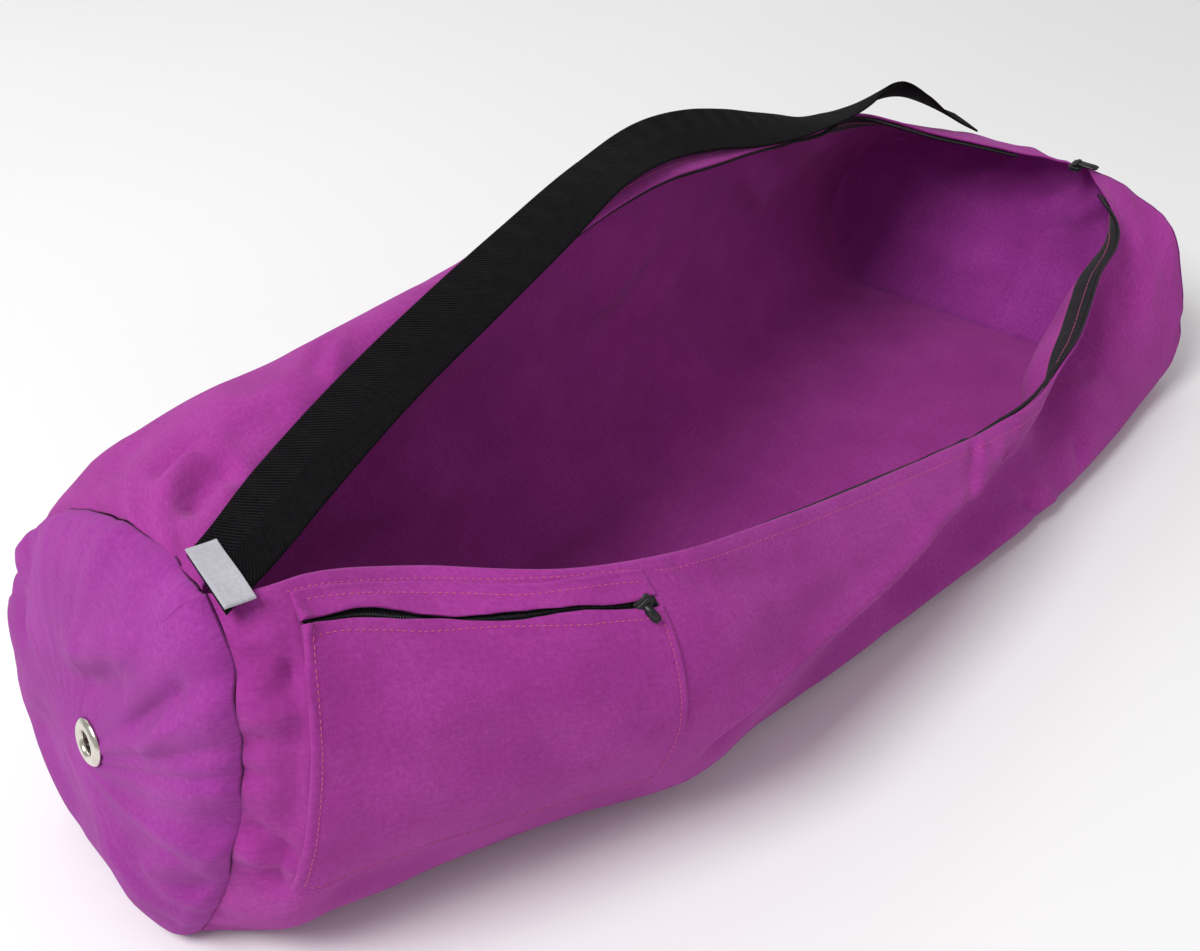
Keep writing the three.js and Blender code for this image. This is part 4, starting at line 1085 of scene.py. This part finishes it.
# pocket slider at the right end of the pocket's slit, its pull hanging down the cloth
px = -211.5
pc0 = on_cloth([px], [21.5], 2.6)[0]
pn = on_cloth([px], [21.5], 3.6)[0] - pc0
pd = on_cloth([px], [30.0], 2.6)[0] - pc0
parts = slider_parts(9.5, 6.4, 10.5, 4.6, 1.0)
v, f = joined([place(q, pc0, np.cross(-pd, pn), pn) for q in oriented(parts)])
ps = make("pocket_slider_piece", to_row(v), f)
finish_piece(ps, ENAMEL, ["pocket_slider"])


# ---- strap ----------------------------------------------------------------------------------
STRAP[:3, 4] += [9, 6, 2]      # the root turns a little further with its seam
S_K = np.concatenate([[0], np.cumsum(np.linalg.norm(STRAP[1:, :3] - STRAP[:-1, :3], axis=1))])
S_M = slopes(S_K, STRAP)


def strap_frame(s):
    q = hermite(S_K, STRAP, S_M, [s, s + .5, s - .5])
    t = q[1, :3] - q[2, :3]
    t /= np.linalg.norm(t)
    w = np.cross([0, 0, 1.0], t)
    w /= np.linalg.norm(w)
    n = np.cross(t, w)
    b = math.radians(q[0, 3])
    w = w * math.cos(b) + n * math.sin(b)
    n = np.cross(t, w)
    k = math.radians(-q[0, 4])
    w = w * math.cos(k) + np.cross(n, w) * math.sin(k)
    return q[0, :3], np.cross(w, n), w, n


def webbing(name, s0, s1, steps, width, lift, thick, node, mat, wave=0.0, seed=60, nub=.5, uv_shift=0.0):
    """flat woven band with rounded edges; a row of points goes once round its cross-section"""
    half = width / 2
    x = np.concatenate([[-1, -.985, -.95, -.88], np.linspace(-.78, .78, 17), [.88, .95, .985, 1]])
    edge = np.sqrt(np.clip(1 - ((np.abs(x) * half - (half - thick * nub)) / (thick * nub)).clip(0) ** 2, 0, 1))
    rows, top_uv = [], []
    n_x = len(x)
    for i in range(steps + 1):
        s = s0 + (s1 - s0) * i / steps
        p, t, w, n = strap_frame(s)
        bow = wave * np.sin(s / 21.0 + seed) * (1 - x ** 2) + .25 * (1 - x ** 2)
        mid = p + w * (x * half)[:, None] + n * (lift + thick / 2 + bow)[:, None]
        up = mid + n * (thick / 2 * edge)[:, None]
        dn = mid - n * (thick / 2 * edge)[:, None]
        rows.append(np.concatenate([up, dn[-2:0:-1]]))
        vv = np.concatenate([x * half, x[-2:0:-1] * half])
        top_uv.append(np.stack([np.full(len(vv), s), vv], 1))
    g = np.array(rows)
    nu, nv = g.shape[:2]
    verts = g.reshape(-1, 3)
    faces = []
    for i in range(nu - 1):
        for j in range(nv):
            faces.append((i * nv + j, i * nv + (j + 1) % nv, (i + 1) * nv + (j + 1) % nv, (i + 1) * nv + j))
    for i in (0, nu - 1):
        ring = [i * nv + j for j in range(nv)]
        for k in range(n_x - 1):      # end caps as strips between the two faces
            a, b = ring[k], ring[k + 1]
            c = ring[(nv - k) % nv]
            d = ring[(nv - k - 1) % nv]
            quad = [a, b, d, c] if c != a else [a, b, d]
            if d == b:
                quad = [a, b, c]
            quad = quad if i == 0 else quad[::-1]
            if len(set(quad)) >= 3:
                faces.append(tuple(quad))
    ob = make(name, to_row(verts), outward(verts, faces), np.array(top_uv).reshape(-1, 2) / 1000.0 + [uv_shift, 0])
    return finish_piece(ob, mat, [node])


webbing("webbing_strap", 0.0, S_K[-1], 300, STRAP_W, 0.0, STRAP_T, "strap", WEBBING, wave=.12)


# ---- label -------------------------------------------------------------------------------------
def label():
    p, t, w, n = strap_frame(2)
    L, W, T = 12.0, 37.0, 1.0
    lift = STRAP_T + 2 * GAP
    a = np.concatenate([np.linspace(-2, L - .6, 12), L - .6 + .6 * np.sin(np.linspace(.3, math.pi / 2, 4))])
    x = np.linspace(-.5, .5, 25)
    top, low = [], []
    for k, av in enumerate(a):
        r = 0 if av <= L - .6 else (1 - math.sqrt(max(0, 1 - ((av - (L - .6)) / .6) ** 2)))
        curl = .5 * (av / L) ** 2
        sway = .35 * np.sin(x * 7 + av * .2) * (av / L)
        q = p + t * av + w * (x * W)[:, None]
        top.append(q + n * (lift + T - r * T / 2 + curl + sway + .2)[:, None])
        low.append(q + n * (lift + r * T / 2 + curl + sway + .2)[:, None])
    top, low = np.array(top), np.array(low)
    verts, faces = shell(top, low)
    A, X = np.meshgrid(a, x * W, indexing="ij")
    uv = np.stack([X.ravel(), A.ravel()], 1) / 1000.0
    ob = make("blank_label", to_row(verts), outward(verts, faces), np.concatenate([uv, uv]))
    finish_piece(ob, LABEL, ["label"])


label()


# ---- stitches --------------------------------------------------------------------------------------
def seam_row(name, specs, mat=None):
    parts = []
    for k, (xs, arcs, out, side, seed) in enumerate(specs):
        xs, arcs = np.asarray(xs, float), np.asarray(arcs, float)
        n = max(30, int((xs.max() - xs.min()) / 2.2))
        if len(xs) > 2 or abs(xs[-1] - xs[0]) > 8:
            u = np.linspace(0, 1, n)
            k0 = np.concatenate([[0], np.cumsum(np.hypot(np.diff(xs), np.diff(arcs)))])
            m = slopes(k0, np.stack([xs, arcs], 1)) if len(xs) > 2 else None
            if m is not None:
                q = hermite(k0, np.stack([xs, arcs], 1), m, u * k0[-1])
            else:
                q = np.stack([np.interp(u, [0, 1], xs), np.interp(u, [0, 1], arcs)], 1)
        else:
            u = np.linspace(0, 1, 60)
            q = np.stack([np.interp(u, [0, 1], xs), np.interp(u, [0, 1], arcs)], 1)
        if out is None:
            out = pocket_height(q[:, 0], q[:, 1]) + 0.08
        base, nn = cloth_line(q[:, 0], q[:, 1], out, side)
        parts.append(stitches(base, nn, seed=seed, radius=.28))
    v, f = joined(parts)
    ob = make(name, to_row(v), f)
    finish_piece(ob, mat or THREAD)
    return ob


whole = np.linspace(-388, 370, 90)
right = np.linspace(-198, 370, 70)
hem = np.interp(right, [-198, -190, 370], [6.5, 8, 8])
seam_row("hem_stitches", [
    (right, hem, 0.0, "front", 101),
    (whole, 0 * whole + 8, 0.0, "back", 102),
    ([-366, -350, -320, -293, -275, -250, -224, -204], [5, 6, 7.4, 7.8, 7, 4.6, 4.0, 5], 0.0, "front", 103),
])
inner_x = np.linspace(-378, 352, 80)
room_f = WALL + .95 + turn_room(inner_x, "front")
parts = []
for side, seed in (("front", 111), ("back", 112)):
    room = WALL + .95 + turn_room(inner_x, side)
    base = on_cloth(inner_x, 0 * inner_x + 8, -room - .05, side)
    nn = base - on_cloth(inner_x, 0 * inner_x + 8, -room + .95, side)
    parts.append(stitches(base, nn, seed=seed))
    base = on_cloth(inner_x, 0 * inner_x + 18.4, -WALL, side)
    nn = base - on_cloth(inner_x, 0 * inner_x + 18.4, -WALL + 1, side)
    parts.append(stitches(base, nn, seed=seed + 5))
v, f = joined(parts)
ob = make("inside_stitches", to_row(v), f)
finish_piece(ob, THREAD)

a_left = np.array([22, 42, 62, 82, 102, 122, 142, 158])
a_right = np.array([25, 45, 65, 85, 105, 120, 132])
xb = np.array([-374, -362, -335, -300, -260, -225, -210])
seam_row("pocket_stitches", [
    (table_at(LEFT_EDGE, a_left) + 4, a_left, None, "front", 121),
    (table_at(RIGHT_EDGE, a_right) - 4, a_right, None, "front", 122),
    (xb, table_at(BOTTOM, xb) - 4, None, "front", 123),
    ([-362, -344, -326, -311, -296, -275, -254, -236, -218, -209], [26.5, 29.5, 33, 36, 36.5, 34, 30.5, 29.5, 30, 30], None, "front", 124),
    ([-359, -340, -320, -305, -293, -278, -263, -245, -227, -206], [10.5, 12.5, 14.5, 16, 16.5, 16, 14.5, 11, 10, 11.4], None, "front", 125),
])


# ---- floor, light and camera ------------------------------------------------------------------
def floor():
    s = 6.0
    me = bpy.data.meshes.new("floor")
    me.from_pydata([(-s, -s, -.0004), (s, -s, -.0004), (s, s, -.0004), (-s, s, -.0004)], [], [(0, 1, 2, 3)])
    me.update()
    ob = bpy.data.objects.new("floor", me)
    bpy.context.scene.collection.objects.link(ob)
    m, nt, bsdf = new_material("studio_floor")
    tc = nt.nodes.new("ShaderNodeTexCoord")
    n = node(nt, "ShaderNodeTexNoise", in_Scale=1.2, in_Detail=2.0)
    nt.links.new(tc.outputs["Object"], n.inputs["Vector"])
    nt.links.new(ramp(nt, n.outputs["Fac"], [(.3, grey(.86)), (.7, grey(.89))]), bsdf.inputs["Base Color"])
    bsdf.inputs["Roughness"].default_value = .85
    ob.data.materials.append(m)


floor()


def area(name, loc, target, size, power, colour=(1, 1, 1)):
    l = bpy.data.lights.new(name, "AREA")
    l.shape = "RECTANGLE"
    l.size, l.size_y = size
    l.energy = power
    l.color = colour
    ob = bpy.data.objects.new(name, l)
    bpy.context.scene.collection.objects.link(ob)
    ob.location = loc
    d = Vector(target) - Vector(loc)
    ob.rotation_euler = d.to_track_quat("-Z", "Y").to_euler()
    return ob


area("key", (-1.75, .15, 2.3), (0, 0, .1), (1.3, 1.2), 60)
area("fill", (.9, -2.3, 1.6), (0, 0, .1), (1.8, 1.6), 4)
area("back", (.6, 2.2, 2.0), (0, 0, .1), (2.4, 1.6), 14)

world = bpy.data.worlds.new("studio")
bpy.context.scene.world = world
world.use_nodes = True
bg = world.node_tree.nodes["Background"]
bg.inputs["Color"].default_value = (1, 1, 1, 1)
bg.inputs["Strength"].default_value = .46

cam = bpy.data.cameras.new("photo_angle")
cam.sensor_width = 36
cam.lens = 46.806
cam.clip_start, cam.clip_end = .01, 50
co = bpy.data.objects.new("photo_angle", cam)
bpy.context.scene.collection.objects.link(co)
az, el, roll = math.radians(-48.663), math.radians(34.964), math.radians(-.951)
R = np.array([math.cos(az), math.sin(az), 0])
B = np.array([math.sin(az) * math.cos(el), -math.cos(az) * math.cos(el), math.sin(el)])
U = np.cross(B, R)
RR = math.cos(roll) * R + math.sin(roll) * U
UU = -math.sin(roll) * R + math.cos(roll) * U
pos = (np.array([-635.38, -474.06, 617.70]) + SHIFT) / 1000
co.matrix_world = Matrix(((RR[0], UU[0], B[0], pos[0]), (RR[1], UU[1], B[1], pos[1]), (RR[2], UU[2], B[2], pos[2]), (0, 0, 0, 1)))
bpy.context.scene.camera = co
bpy.context.scene.view_settings.view_transform = "Standard"
